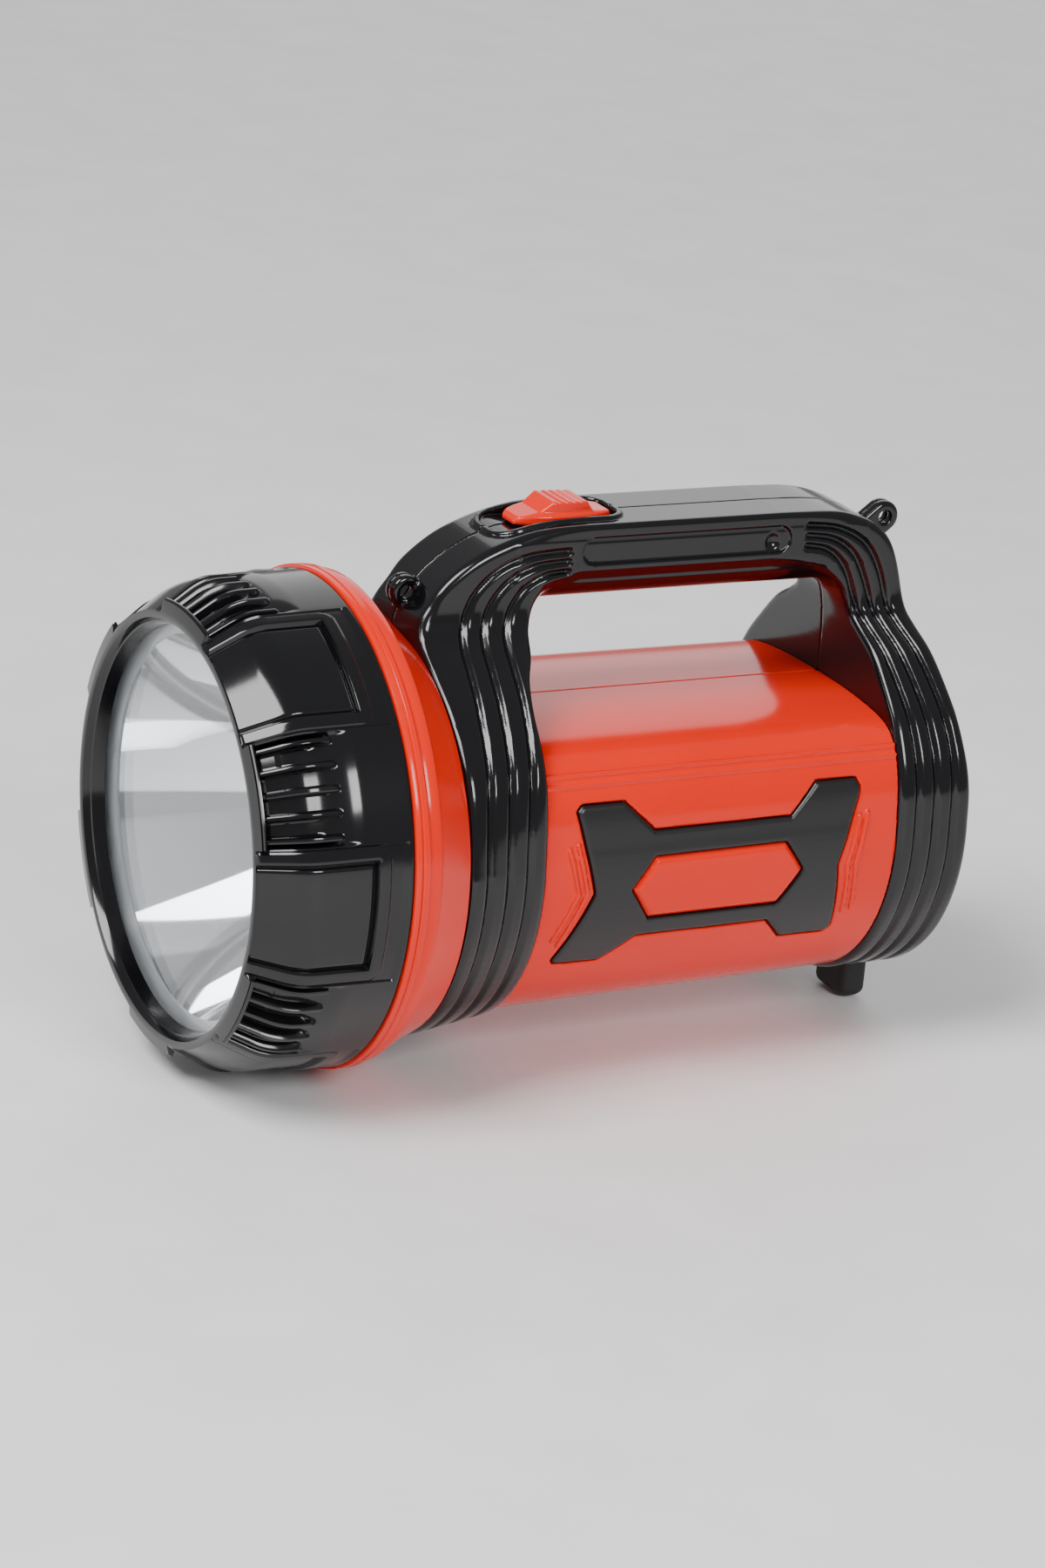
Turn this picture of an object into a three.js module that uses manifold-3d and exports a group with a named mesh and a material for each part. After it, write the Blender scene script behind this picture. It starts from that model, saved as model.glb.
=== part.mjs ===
// Rechargeable LED hand searchlight with a round threaded head, a red barrel and a black carrying handle.
// Millimetres, +Z up. The lens looks along -Y and the handle is on top, so +X is the torch's left side.
// Every piece is drawn in the head's own frame, where y = 0 is the seam between bezel and collar and
// z = 0 is the optical axis. The last lines lift the whole torch so that it stands on z = 0.

import * as THREE from 'three';
import { mergeVertices } from 'three/addons/utils/BufferGeometryUtils.js';
import Module from 'manifold-3d';

const wasm = await Module();
wasm.setup();

// ---- Driving dimensions ----

const CLEARANCE = 0.3;
const ROUND_STEPS = 48;
const SMALL_STEPS = 16;

// Bezel, the black ring that unscrews from the head
const BEZEL_RADIUS = 61.3;
const BEZEL_LENGTH = 38;
const BEZEL_KINK = 28.5;
const BEZEL_REAR_BAND = 7.5;
const BEZEL_MOUTH_RADIUS = 51.5;
const BEZEL_FRONT_RADIUS = 55.5;
const BEZEL_LIP = 8.2;
const BEZEL_BORE_RADIUS = 56;
const PAD_COUNT = 6;
const PAD_TURN = -2.5;
const PAD_RAISE = 0.8;
const PANEL_HALF_ANGLE = 16;
const PANEL_BORDER = 2.5;
const GRIP_HALF_ANGLE = 13;
const GRIP_DEPTH = 2.8;
const GRIP_RIB_WIDTH = 2;
const GRIP_RIB_ANGLES = [-6, 0, 6];

// Head housing, the red collar and neck
const THREAD_RADIUS = 58.6;
const THREAD_LENGTH = 13;
const COLLAR_RADIUS = 62;
const COLLAR_BAND_1 = 3.6;
const COLLAR_BAND_2 = 7.4;
const COLLAR_STEP = 1;
const NECK_END = 19.4;
const NECK_RADIUS = 52;
const NECK_DROP = 4;
const HOUSING_WALL = 2.8;
const SLEEVE_RADIUS = 43;

// Optics
const LENS_THICKNESS = 2.5;
const GASKET_THICKNESS = 1.5;
const REFLECTOR_FOCUS = 10;
const REFLECTOR_MOUTH_RADIUS = 50;
const REFLECTOR_HOLE_RADIUS = 9;
const REFLECTOR_WALL = 1.2;
const FLANGE_THICKNESS = 1.5;
const EMITTER_RADIUS = 3.5;
const STAR_RADIUS = 8;
const STAR_THICKNESS = 1.5;
const HEAT_SINK_RADIUS = 18;

// Barrel
const BARREL_FRONT = 43;
const BARREL_REAR = 142;
const BARREL_RADIUS = 47;
const BARREL_REAR_RADIUS = 45.2;
const BARREL_CENTRE = -5;
const ROOF_HEIGHT = 27.6;
const SHOULDER_DROP = 3.4;
const BARREL_WALL = 3.2;
const REBATE = 1.4;

// Side panels, the black inlays, and the red window that shows through each
const PANEL_CENTRE_HEIGHT = -7.4;
const PANEL_DEPTH = 1.4;
const PANEL_PROUD = 0.6;
const PANEL_FRONT = 49;
const PANEL_REAR = 130;
const WINDOW_LENGTH = 48;
const WINDOW_HEIGHT = 16.4;
const WINDOW_POINT = 5.8;

// Handle with its two arches
const ARCH_FRONT = 19.7;
const ARCH_PROUD = 1.2;
const ARCH_FRONT_RADIUS = 52.4;
const TORCH_REAR = 164;
const HANDLE_TOP = 75.2;
const GRIP_HALF_WIDTH = 13;
const GRIP_UNDERSIDE = 53.5;
const GRIP_ROUNDING = 2.7;
const GRIP_SIDE_BOTTOM = 62;
const FRONT_FLARE = [[47.8, 10], [44.6, 21.5], [39, 31], [32, 39], [23, 46.5], [16.5, 53], [13, 60]];
const REAR_FLARE = [[46.4, 8], [43.2, 18], [38, 26.5], [32, 33.3], [25, 40.3], [16, 45.6], [13, 50]];
const HANDLE_WALL = 2.8;
const LUG_THICKNESS = 3.6;
const LUG_RADIUS = 4.5;
const LUG_HOLE_RADIUS = 2;
const SIDE_RECESS_LENGTH = 58;
const SIDE_RECESS_HEIGHT = 7;
const SIDE_RECESS_DEPTH = 0.8;

// Slide switch
const SWITCH_MIDDLE = 62.4;
const KNOB_LENGTH = 27;
const KNOB_WIDTH = 14.4;
const KNOB_TRAVEL = 5;
const POCKET_DEPTH = 3;
const THUMB_PAD_HEIGHT = 3.3;
const SLOT_WIDTH = 5;

// Power pieces inside the barrel
const BATTERY_WIDTH = 48;
const BATTERY_LENGTH = 70;
const BATTERY_HEIGHT = 44;
const BATTERY_FRONT = 56.5;
const FOAM_THICKNESS = 3;
const FOAM_WIDTH = 28;
const RIB_PLACES = [68, 112];
const RIB_THICKNESS = 2.4;
const BOARD_THICKNESS = 1.6;

// Rear cover, foot and fasteners
const COVER_THICKNESS = 3.5;
const COVER_RECESS = 1;
const SOCKET_RADIUS = 8;
const FOOT_HALF_WIDTH = 7.5;
const FOOT_LENGTH = 7.8;
const SCREW_RADIUS = 1.5;
const SCREW_HEAD_RADIUS = 3;
const SCREW_HEAD_HEIGHT = 2;
const BOSS_RADIUS = 3.6;

// ---- Finishes ----

const finish = (color, roughness, metalness = 0) => ({ color, roughness, metalness });
const BLACK_ABS = finish(0x111214, 0.22);
const RED_ABS = finish(0xe2200f, 0.25);
const CLEAR = finish(0xe8eef2, 0.05);
const CHROME = finish(0xdfe3e6, 0.05, 1);
const STEEL = finish(0x9aa0a6, 0.35, 1);
const ALUMINIUM = finish(0xb8bcc0, 0.4, 1);
const RUBBER = finish(0x1a1a1a, 0.8);
const FOAM = finish(0x3a3a3c, 0.95);
const BOARD_GREEN = finish(0x1f6b3a, 0.5);
const LED_YELLOW = finish(0xf2d64b, 0.3);
const BATTERY_GREY = finish(0x4b4f55, 0.6);
const CAPACITOR_YELLOW = finish(0xd9a520, 0.45);
const GREEN_LIGHT = finish(0x3fd06a, 0.2);

// ---- Shape helpers ----

const torch = new THREE.Group();
const degrees = Math.PI / 180;

/** A closed geometry as a solid, with its faces pointing out. */
function solid(geometry) {
  geometry.deleteAttribute('normal');
  geometry.deleteAttribute('uv');
  const merged = mergeVertices(geometry, 1e-3);
  const triVerts = new Uint32Array(merged.index.array);
  const vertProperties = new Float32Array(merged.attributes.position.array);
  const made = new wasm.Manifold(new wasm.Mesh({ numProp: 3, vertProperties, triVerts }));
  if (made.volume() > 0) {
    return made;
  }
  return new wasm.Manifold(new wasm.Mesh({ numProp: 3, vertProperties, triVerts: triVerts.reverse() }));
}

/** Adds one named piece of a finish to the torch. */
function piece(name, body, look) {
  const { numProp, vertProperties, triVerts } = body.getMesh();
  const geometry = new THREE.BufferGeometry();
  const positions = new Float32Array((vertProperties.length / numProp) * 3);
  for (let i = 0; i < positions.length / 3; i += 1) {
    positions.set(vertProperties.subarray(i * numProp, i * numProp + 3), i * 3);
  }
  geometry.setAttribute('position', new THREE.BufferAttribute(positions, 3));
  geometry.setIndex(new THREE.BufferAttribute(new Uint32Array(triVerts), 1));
  geometry.computeVertexNormals();
  const mesh = new THREE.Mesh(geometry, new THREE.MeshStandardMaterial(look));
  mesh.name = name;
  torch.add(mesh);
}

/** A closed profile of [radius, y] points turned about the optical axis; lift(y) may move each ring up. */
function turned(profile, steps = ROUND_STEPS, lift = () => 0) {
  const points = profile.map(([radius, y]) => new THREE.Vector2(radius, y));
  if (profile[0][0] > 0 || profile.at(-1)[0] > 0) {
    points.push(points[0].clone());
  }
  const geometry = new THREE.LatheGeometry(points, steps);
  const corners = geometry.attributes.position;
  for (let i = 0; i < corners.count; i += 1) {
    corners.setZ(i, corners.getZ(i) + lift(corners.getY(i)));
  }
  return solid(geometry);
}

/** A turned piece with its own axis parallel to Y, through (x, z). */
function turnedAt(profile, x, z, steps = SMALL_STEPS) {
  const points = profile.map(([radius, y]) => new THREE.Vector2(radius, y));
  if (profile[0][0] > 0 || profile.at(-1)[0] > 0) {
    points.push(points[0].clone());
  }
  const geometry = new THREE.LatheGeometry(points, steps);
  geometry.translate(x, 0, z);
  return solid(geometry);
}

/** A cylinder along X from x0 to x1, centred on (y, z). */
function crossBar(radius, x0, x1, y, z, steps = 12) {
  const geometry = new THREE.CylinderGeometry(radius, radius, x1 - x0, steps);
  geometry.rotateZ(90 * degrees);
  geometry.translate((x0 + x1) / 2, y, z);
  return solid(geometry);
}

/** A box from its two corners. */
function block([x0, y0, z0], [x1, y1, z1]) {
  const geometry = new THREE.BoxGeometry(x1 - x0, y1 - y0, z1 - z0);
  geometry.translate((x0 + x1) / 2, (y0 + y1) / 2, (z0 + z1) / 2);
  return solid(geometry);
}

/** A shape drawn in (y, z) and extruded along X from x0 to x1, with an optional edge rounding. */
function sideExtrusion(shape, x0, x1, curveSegments = 8, rounding = 0) {
  const geometry = new THREE.ExtrudeGeometry(shape, {
    depth: x1 - x0 - 2 * rounding,
    curveSegments,
    bevelEnabled: rounding > 0,
    bevelThickness: rounding,
    bevelSize: rounding,
    bevelOffset: -rounding,
    bevelSegments: 3,
  });
  const alongX = new THREE.Matrix4().makeBasis(
    new THREE.Vector3(0, 1, 0),
    new THREE.Vector3(0, 0, 1),
    new THREE.Vector3(1, 0, 0),
  );
  geometry.applyMatrix4(alongX);
  geometry.translate(x0 + rounding, 0, 0);
  return solid(geometry);
}

/** A shape drawn in (x, z), extruded along Y from y0 to y1; reshape(x, y, z) may move each corner. */
function sectionExtrusion(shape, y0, y1, reshape, curveSegments = 8) {
  const geometry = new THREE.ExtrudeGeometry(shape, { depth: y1 - y0, curveSegments, bevelEnabled: false });
  const alongY = new THREE.Matrix4().makeBasis(
    new THREE.Vector3(1, 0, 0),
    new THREE.Vector3(0, 0, 1),
    new THREE.Vector3(0, -1, 0),
  );
  geometry.applyMatrix4(alongY);
  geometry.translate(0, y1, 0);
  const corners = geometry.attributes.position;
  for (let i = 0; i < corners.count; i += 1) {
    const [x, z] = reshape(corners.getX(i), corners.getY(i), corners.getZ(i));
    corners.setXYZ(i, x, corners.getY(i), z);
  }
  return solid(geometry);
}

/** A wedge between two radii and two angles about the optical axis, from y0 to y1. */
function sector(middle, halfAngle, inner, outer, y0, y1) {
  const from = (middle - halfAngle) * degrees;
  const to = (middle + halfAngle) * degrees;
  const shape = new THREE.Shape();
  shape.moveTo(inner * Math.cos(from), inner * Math.sin(from));
  shape.absarc(0, 0, outer, from, to, false);
  shape.absarc(0, 0, inner, to, from, true);
  return sectionExtrusion(shape, y0, y1, (x, y, z) => [x, z], 1);
}

/** A polygon of [y, z] corners as a shape. */
function polygon(corners) {
  return new THREE.Shape(corners.map(([y, z]) => new THREE.Vector2(y, z)));
}

/** Corners of a polygon drawn anticlockwise, each moved out by a margin with a mitre. */
function grown(corners, margin) {
  return corners.map(([y, z], i) => {
    const [lastY, lastZ] = corners.at(i - 1);
    const [nextY, nextZ] = corners[(i + 1) % corners.length];
    const before = new THREE.Vector2(y - lastY, z - lastZ).normalize();
    const after = new THREE.Vector2(nextY - y, nextZ - z).normalize();
    const out = new THREE.Vector2(before.y + after.y, -before.x - after.x);
    out.multiplyScalar((2 * margin) / out.lengthSq());
    return [y + out.x, z + out.y];
  });
}

/** A shape in (x, z) from its right half, a path that starts and ends on the middle line. */
function mirrored(path, divisions) {
  const right = path.getPoints(divisions);
  const inner = right.filter((point) => point.x > 0.001);
  const left = inner.map((point) => new THREE.Vector2(-point.x, point.y)).reverse();
  return new THREE.Shape([...right, ...left]);
}

/** Joins a list of solids. */
function joined(bodies) {
  return bodies.reduce((whole, body) => whole.add(body));
}

const BEYOND = 90;
const leftHalf = block([0.01, -BEYOND, -BEYOND], [BEYOND, 3 * BEYOND, 2 * BEYOND]);
const rightHalf = block([-BEYOND, -BEYOND, -BEYOND], [-0.01 - CLEARANCE, 3 * BEYOND, 2 * BEYOND]);

// ---- Bezel ----

const bezelRear = -CLEARANCE;
const padRear = -BEZEL_REAR_BAND;
const lipRear = -BEZEL_LENGTH + BEZEL_LIP;
const bezelSpigotBore = THREAD_RADIUS + CLEARANCE;

/** The bezel's outside as a full solid, sunk by a depth. */
function bezelEnvelope(depth) {
  return turned([
    [0, 0],
    [BEZEL_RADIUS - depth, 0],
    [BEZEL_RADIUS - 0.6 - depth, -BEZEL_KINK],
    [BEZEL_FRONT_RADIUS - depth, -BEZEL_LENGTH],
    [0, -BEZEL_LENGTH],
  ]);
}

function makeBezel() {
  let ring = turned([
    [bezelSpigotBore, bezelRear],
    [BEZEL_RADIUS, bezelRear],
    [BEZEL_RADIUS - 0.2, padRear],
    [BEZEL_RADIUS - 0.2 - PAD_RAISE, padRear - 0.8],
    [BEZEL_RADIUS - 0.6 - PAD_RAISE, -BEZEL_KINK],
    [BEZEL_FRONT_RADIUS - PAD_RAISE, -BEZEL_LENGTH],
    [BEZEL_MOUTH_RADIUS, -BEZEL_LENGTH],
    [BEZEL_MOUTH_RADIUS - 2.2, lipRear],
    [BEZEL_BORE_RADIUS, lipRear],
    [BEZEL_BORE_RADIUS, -THREAD_LENGTH - CLEARANCE],
    [bezelSpigotBore, -THREAD_LENGTH - CLEARANCE],
  ]);
  const raised = bezelEnvelope(0);
  const step = 360 / PAD_COUNT;
  const borderAngle = PANEL_BORDER / BEZEL_RADIUS / degrees;
  const keep = BEZEL_BORE_RADIUS - 3;
  const outside = BEZEL_RADIUS + 5;
  const scoop = turned([
    [0, BEZEL_LENGTH],
    [BEZEL_RADIUS, padRear + 2],
    [BEZEL_RADIUS - 0.6 - GRIP_DEPTH, -BEZEL_KINK],
    [BEZEL_FRONT_RADIUS + 0.8 - GRIP_DEPTH, -BEZEL_LENGTH + 1.6],
    [0, -BEZEL_LENGTH + 1.6],
  ]);
  const ribAngle = GRIP_RIB_WIDTH / 2 / BEZEL_RADIUS / degrees;
  for (let i = 0; i < PAD_COUNT; i += 1) {
    const panelAt = PAD_TURN + i * step;
    const frame = sector(panelAt, PANEL_HALF_ANGLE, keep, outside, -BEZEL_LENGTH, padRear + 0.4);
    const floorHalf = PANEL_HALF_ANGLE - borderAngle;
    const floor = sector(panelAt, floorHalf, keep - 2, outside, -BEYOND, padRear - PANEL_BORDER);
    ring = ring.add(frame.intersect(raised).subtract(floor));
    const gripAt = panelAt + step / 2;
    const pocket = sector(gripAt, GRIP_HALF_ANGLE, keep - 2, outside, -BEZEL_LENGTH + 1.6, padRear + 2);
    ring = ring.subtract(pocket.subtract(scoop));
    for (const angle of GRIP_RIB_ANGLES) {
      const rib = sector(gripAt + angle, ribAngle, keep - 1, outside, -BEZEL_LENGTH + 1, padRear - 2);
      ring = ring.add(rib.intersect(raised));
    }
  }
  const room = turned([
    [0, lipRear],
    [BEZEL_BORE_RADIUS, lipRear],
    [BEZEL_BORE_RADIUS, -THREAD_LENGTH - CLEARANCE],
    [bezelSpigotBore, -THREAD_LENGTH - CLEARANCE],
    [bezelSpigotBore, 0],
    [0, 0],
  ]);
  return ring.subtract(room);
}

piece('bezel_ring', makeBezel(), BLACK_ABS);

// ---- Optics ----

const lensRadius = BEZEL_BORE_RADIUS - CLEARANCE - 0.4;
const lensFront = lipRear + CLEARANCE;
const lensRear = lensFront + LENS_THICKNESS;
const gasketFront = lensRear + CLEARANCE;
const gasketRear = gasketFront + GASKET_THICKNESS;
const flangeFront = gasketRear + CLEARANCE;
const flangeRear = flangeFront + FLANGE_THICKNESS;

piece('lens', turned([[0, lensFront], [lensRadius, lensFront], [lensRadius, lensRear], [0, lensRear]]), CLEAR);
piece('lens_gasket', turned([
  [REFLECTOR_MOUTH_RADIUS + 1.5, gasketFront],
  [lensRadius, gasketFront],
  [lensRadius, gasketRear],
  [REFLECTOR_MOUTH_RADIUS + 1.5, gasketRear],
], 48), RUBBER);

const reflectorApex = flangeFront + REFLECTOR_MOUTH_RADIUS ** 2 / (4 * REFLECTOR_FOCUS);
const bowlY = (radius) => reflectorApex - radius ** 2 / (4 * REFLECTOR_FOCUS);
const reflectorRear = bowlY(REFLECTOR_HOLE_RADIUS) + 1.5;

function makeReflector() {
  const inside = [];
  const outside = [];
  const steps = 6;
  for (let i = 0; i <= steps; i += 1) {
    const share = i / steps;
    const radius = REFLECTOR_MOUTH_RADIUS + (REFLECTOR_HOLE_RADIUS - REFLECTOR_MOUTH_RADIUS) * share;
    inside.push([radius, bowlY(radius)]);
    if (i > 0) {
      outside.unshift([radius + REFLECTOR_WALL, Math.min(bowlY(radius) + 0.6, reflectorRear)]);
    }
  }
  outside[0] = [REFLECTOR_HOLE_RADIUS + REFLECTOR_WALL + 1.6, reflectorRear];
  const bore = [REFLECTOR_HOLE_RADIUS, reflectorRear];
  const flange = [
    [REFLECTOR_MOUTH_RADIUS + REFLECTOR_WALL, flangeRear],
    [lensRadius, flangeRear],
    [lensRadius, flangeFront],
  ];
  return turned([...inside, bore, ...outside, ...flange], 36);
}

piece('reflector', makeReflector(), CHROME);

const emitterFront = reflectorApex - REFLECTOR_FOCUS;
const starFront = emitterFront + EMITTER_RADIUS + CLEARANCE;
const starRear = starFront + STAR_THICKNESS;
const postRadius = STAR_RADIUS - 0.3;
const sinkFront = reflectorRear + CLEARANCE;
const sinkRear = sinkFront + 7;

const dome = [[0, emitterFront]];
for (let i = 1; i <= 4; i += 1) {
  const angle = i * 22.5 * degrees;
  dome.push([EMITTER_RADIUS * Math.sin(angle), emitterFront + EMITTER_RADIUS * (1 - Math.cos(angle))]);
}
dome.push([0, emitterFront + EMITTER_RADIUS]);
piece('led_emitter', turned(dome, 20), LED_YELLOW);
const starProfile = [[0, starFront], [STAR_RADIUS, starFront], [STAR_RADIUS, starRear], [0, starRear]];
piece('led_board', turned(starProfile, 24), ALUMINIUM);
piece('heat_sink', turned([
  [0, starRear + CLEARANCE],
  [postRadius, starRear + CLEARANCE],
  [postRadius, sinkFront],
  [HEAT_SINK_RADIUS, sinkFront],
  [HEAT_SINK_RADIUS, sinkFront + 1.6],
  [postRadius + 2, sinkFront + 1.6],
  [postRadius + 2, sinkRear - 1.6],
  [HEAT_SINK_RADIUS, sinkRear - 1.6],
  [HEAT_SINK_RADIUS, sinkRear],
  [0, sinkRear],
], 36), ALUMINIUM);

// ---- Head housing: threaded spigot, collar, neck and rear sleeve ----

const spigotFront = -THREAD_LENGTH;
const sleeveFront = flangeRear + CLEARANCE;
const sleeveRear = ARCH_FRONT + 10;

/** How far the neck's centre has moved up at y, on its way from the head's axis to the barrel's. */
function neckLift(y) {
  const share = (y - COLLAR_BAND_2) / (NECK_END - COLLAR_BAND_2);
  return -NECK_DROP * Math.min(Math.max(share, 0), 1);
}

function makeHousing() {
  const inner = THREAD_RADIUS - HOUSING_WALL - 0.4;
  const band2 = COLLAR_RADIUS - COLLAR_STEP;
  const neckMiddle = (COLLAR_BAND_2 + NECK_END) / 2;
  return turned([
    [REFLECTOR_MOUTH_RADIUS + 2.6, sleeveFront],
    [BEZEL_BORE_RADIUS - CLEARANCE, sleeveFront],
    [BEZEL_BORE_RADIUS - CLEARANCE, spigotFront],
    [THREAD_RADIUS, spigotFront],
    [THREAD_RADIUS, 0],
    [COLLAR_RADIUS, 0],
    [COLLAR_RADIUS, COLLAR_BAND_1],
    [band2, COLLAR_BAND_1 + 0.4],
    [band2, COLLAR_BAND_2],
    [(band2 + NECK_RADIUS) / 2 - 0.4, neckMiddle - 0.8],
    [NECK_RADIUS, NECK_END],
    [SLEEVE_RADIUS, NECK_END],
    [SLEEVE_RADIUS, sleeveRear],
    [SLEEVE_RADIUS - HOUSING_WALL, sleeveRear],
    [SLEEVE_RADIUS - HOUSING_WALL, NECK_END - HOUSING_WALL],
    [NECK_RADIUS - HOUSING_WALL, NECK_END - HOUSING_WALL],
    [inner - 4, COLLAR_BAND_2 - 1],
    [inner, COLLAR_BAND_1 - 1],
    [inner, spigotFront + HOUSING_WALL],
    [REFLECTOR_MOUTH_RADIUS + 2.6, spigotFront + HOUSING_WALL - 1.6],
  ], ROUND_STEPS, neckLift);
}

piece('head_housing', makeHousing(), RED_ABS);

// ---- Barrel ----

/** Half-height of taper at y: the barrel narrows evenly towards the rear. */
function taper(y) {
  const share = (y - BARREL_FRONT) / (BARREL_REAR - BARREL_FRONT);
  return 1 + (BARREL_REAR_RADIUS / BARREL_RADIUS - 1) * share;
}

function barrelReshape(x, y, z) {
  const scale = taper(y);
  if (z > BARREL_CENTRE) {
    return [x * scale, z];
  }
  return [x * scale, BARREL_CENTRE + (z - BARREL_CENTRE) * scale];
}

/** The barrel's section, moved in by an inset: round below, upright flanks and a crowned roof. */
function barrelShape(inset) {
  const radius = BARREL_RADIUS - inset;
  const roof = ROOF_HEIGHT - inset;
  const shoulder = roof - SHOULDER_DROP;
  const flankAngle = 10 * degrees;
  const flankX = radius * Math.cos(flankAngle);
  const flankZ = BARREL_CENTRE + radius * Math.sin(flankAngle);
  const shoulderX = radius - 8;
  const half = new THREE.Path();
  half.absarc(0, BARREL_CENTRE, radius, -90 * degrees, flankAngle, false);
  half.bezierCurveTo(flankX - 1.2, flankZ + 9, radius - 3, shoulder - 2, shoulderX, shoulder);
  half.quadraticCurveTo(shoulderX - 14, roof, 0, roof);
  return mirrored(half, 5);
}

function barrelBody(inset, y0, y1) {
  return sectionExtrusion(barrelShape(inset), y0, y1, barrelReshape, 7);
}

const shellFront = sleeveRear + CLEARANCE;
const coverRear = TORCH_REAR - COVER_RECESS;
const coverFront = coverRear - COVER_THICKNESS;
const shellRear = coverFront - CLEARANCE;

/** The bow-tie outline of a side panel in (y, z), grown by a margin. */
function panelShape(margin) {
  const top = PANEL_CENTRE_HEIGHT + 21.6;
  const bottom = PANEL_CENTRE_HEIGHT - 20.4;
  const waistTop = PANEL_CENTRE_HEIGHT + 13.7;
  const waistBottom = PANEL_CENTRE_HEIGHT - 14;
  return polygon(grown([
    [PANEL_FRONT + 1, bottom],
    [PANEL_FRONT + 13.6, bottom],
    [PANEL_FRONT + 22, waistBottom],
    [PANEL_REAR - 21.5, waistBottom],
    [PANEL_REAR - 16, bottom],
    [PANEL_REAR - 2.4, bottom],
    [PANEL_REAR - 1.2, bottom + 1.4],
    [PANEL_REAR - 4.2, PANEL_CENTRE_HEIGHT],
    [PANEL_REAR, top - 2],
    [PANEL_REAR - 1.4, top],
    [PANEL_REAR - 12, top],
    [PANEL_REAR - 19, waistTop],
    [PANEL_FRONT + 23.4, waistTop],
    [PANEL_FRONT + 14.6, top],
    [PANEL_FRONT + 3.4, top],
    [PANEL_FRONT + 2, top - 1.2],
    [PANEL_FRONT + 7.6, PANEL_CENTRE_HEIGHT],
    [PANEL_FRONT, bottom + 1.2],
  ], margin));
}

/** The pointed window in the panel, in (y, z), grown by a margin. */
function windowShape(margin) {
  const middle = (PANEL_FRONT + PANEL_REAR) / 2 + 2;
  const half = WINDOW_LENGTH / 2;
  const rise = WINDOW_HEIGHT / 2;
  const height = PANEL_CENTRE_HEIGHT - 0.8;
  return polygon(grown([
    [middle - half, height],
    [middle - half + WINDOW_POINT, height - rise],
    [middle + half - WINDOW_POINT, height - rise],
    [middle + half, height],
    [middle + half - WINDOW_POINT, height + rise],
    [middle - half + WINDOW_POINT, height + rise],
  ], margin));
}

const bodyScrewPlaces = [
  ['body_screw_front_upper', 49.5, 19.2],
  ['body_screw_front_lower', 49.5, -38],
  ['body_screw_rear_upper', 136, 18.6],
  ['body_screw_rear_lower', 136, -37],
];
const coverScrewPlaces = [
  ['cover_screw_upper_left', 31, 17],
  ['cover_screw_lower_left', 31, -27],
  ['cover_screw_upper_right', -31, 17],
  ['cover_screw_lower_right', -31, -27],
];
const batteryRear = BATTERY_FRONT + BATTERY_LENGTH;
const batteryTop = BARREL_CENTRE + BATTERY_HEIGHT / 2 - 1;
const batteryBottom = batteryTop - BATTERY_HEIGHT;
const bodyScrewSeat = -30;
const screwTip = 9;

/** One half of the barrel: side is +1 for the left shell and -1 for the right shell. */
function makeShell(side) {
  const half = side > 0 ? leftHalf : rightHalf;
  const outer = joined([
    barrelBody(0, BARREL_FRONT + CLEARANCE, BARREL_REAR - CLEARANCE),
    barrelBody(REBATE, shellFront, BARREL_FRONT + 1),
    barrelBody(REBATE, BARREL_REAR - 1, shellRear),
  ]);
  const hollow = barrelBody(BARREL_WALL, shellFront - 1, shellRear + 1);
  let shell = outer.subtract(hollow);
  const bosses = bodyScrewPlaces.map(([, y, z]) => crossBar(BOSS_RADIUS, -44, 44, y, z));
  const coverBosses = coverScrewPlaces.map(([, x, z]) => (
    turnedAt([[0, shellRear - 12], [BOSS_RADIUS + 0.6, shellRear - 12], [BOSS_RADIUS + 0.6, shellRear],
        [0, shellRear]],
      x * 1.06, z * 1.06, 16)
  ));
  const batteryRoom = block(
    [-BATTERY_WIDTH / 2 - CLEARANCE, BATTERY_FRONT, batteryBottom - CLEARANCE],
    [BATTERY_WIDTH / 2 + CLEARANCE, batteryRear, batteryTop + CLEARANCE],
  ).add(block(
    [-FOAM_WIDTH / 2 - CLEARANCE, BATTERY_FRONT, batteryBottom - FOAM_THICKNESS - 2 * CLEARANCE],
    [FOAM_WIDTH / 2 + CLEARANCE, batteryRear, batteryTop + FOAM_THICKNESS + 2 * CLEARANCE],
  ));
  const ribs = RIB_PLACES.map((y) => barrelBody(BARREL_WALL - 0.4, y, y + RIB_THICKNESS).subtract(batteryRoom));
  shell = shell.add(joined([...bosses, ...coverBosses, ...ribs]).intersect(outer));
  const seatRoom = SCREW_HEAD_RADIUS + CLEARANCE;
  const holes = bodyScrewPlaces.map(([, y, z]) => (
    crossBar(SCREW_RADIUS + CLEARANCE, bodyScrewSeat - 1, screwTip + 1, y, z, 12)
      .add(crossBar(seatRoom, -BEYOND, bodyScrewSeat, y, z))
  ));
  const coverHoles = coverScrewPlaces.map(([, x, z]) => (
    turnedAt([[0, shellRear - 9], [SCREW_RADIUS + CLEARANCE, shellRear - 9],
      [SCREW_RADIUS + CLEARANCE, shellRear + 1], [0, shellRear + 1]], x, z, 12)
  ));
  shell = shell.subtract(joined([...holes, ...coverHoles]));
  const inlay = sideExtrusion(panelShape(CLEARANCE), 20, BEYOND)
    .subtract(sideExtrusion(windowShape(0), 10, BEYOND + 10));
  const mirrored = sideExtrusion(panelShape(CLEARANCE), -BEYOND, -20)
    .subtract(sideExtrusion(windowShape(0), -BEYOND - 10, -10));
  const pocketFloor = barrelBody(PANEL_DEPTH, BARREL_FRONT - 1, BARREL_REAR + 1);
  const pocket = (side > 0 ? inlay : mirrored).subtract(pocketFloor);
  return shell.subtract(pocket).intersect(half);
}

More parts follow.
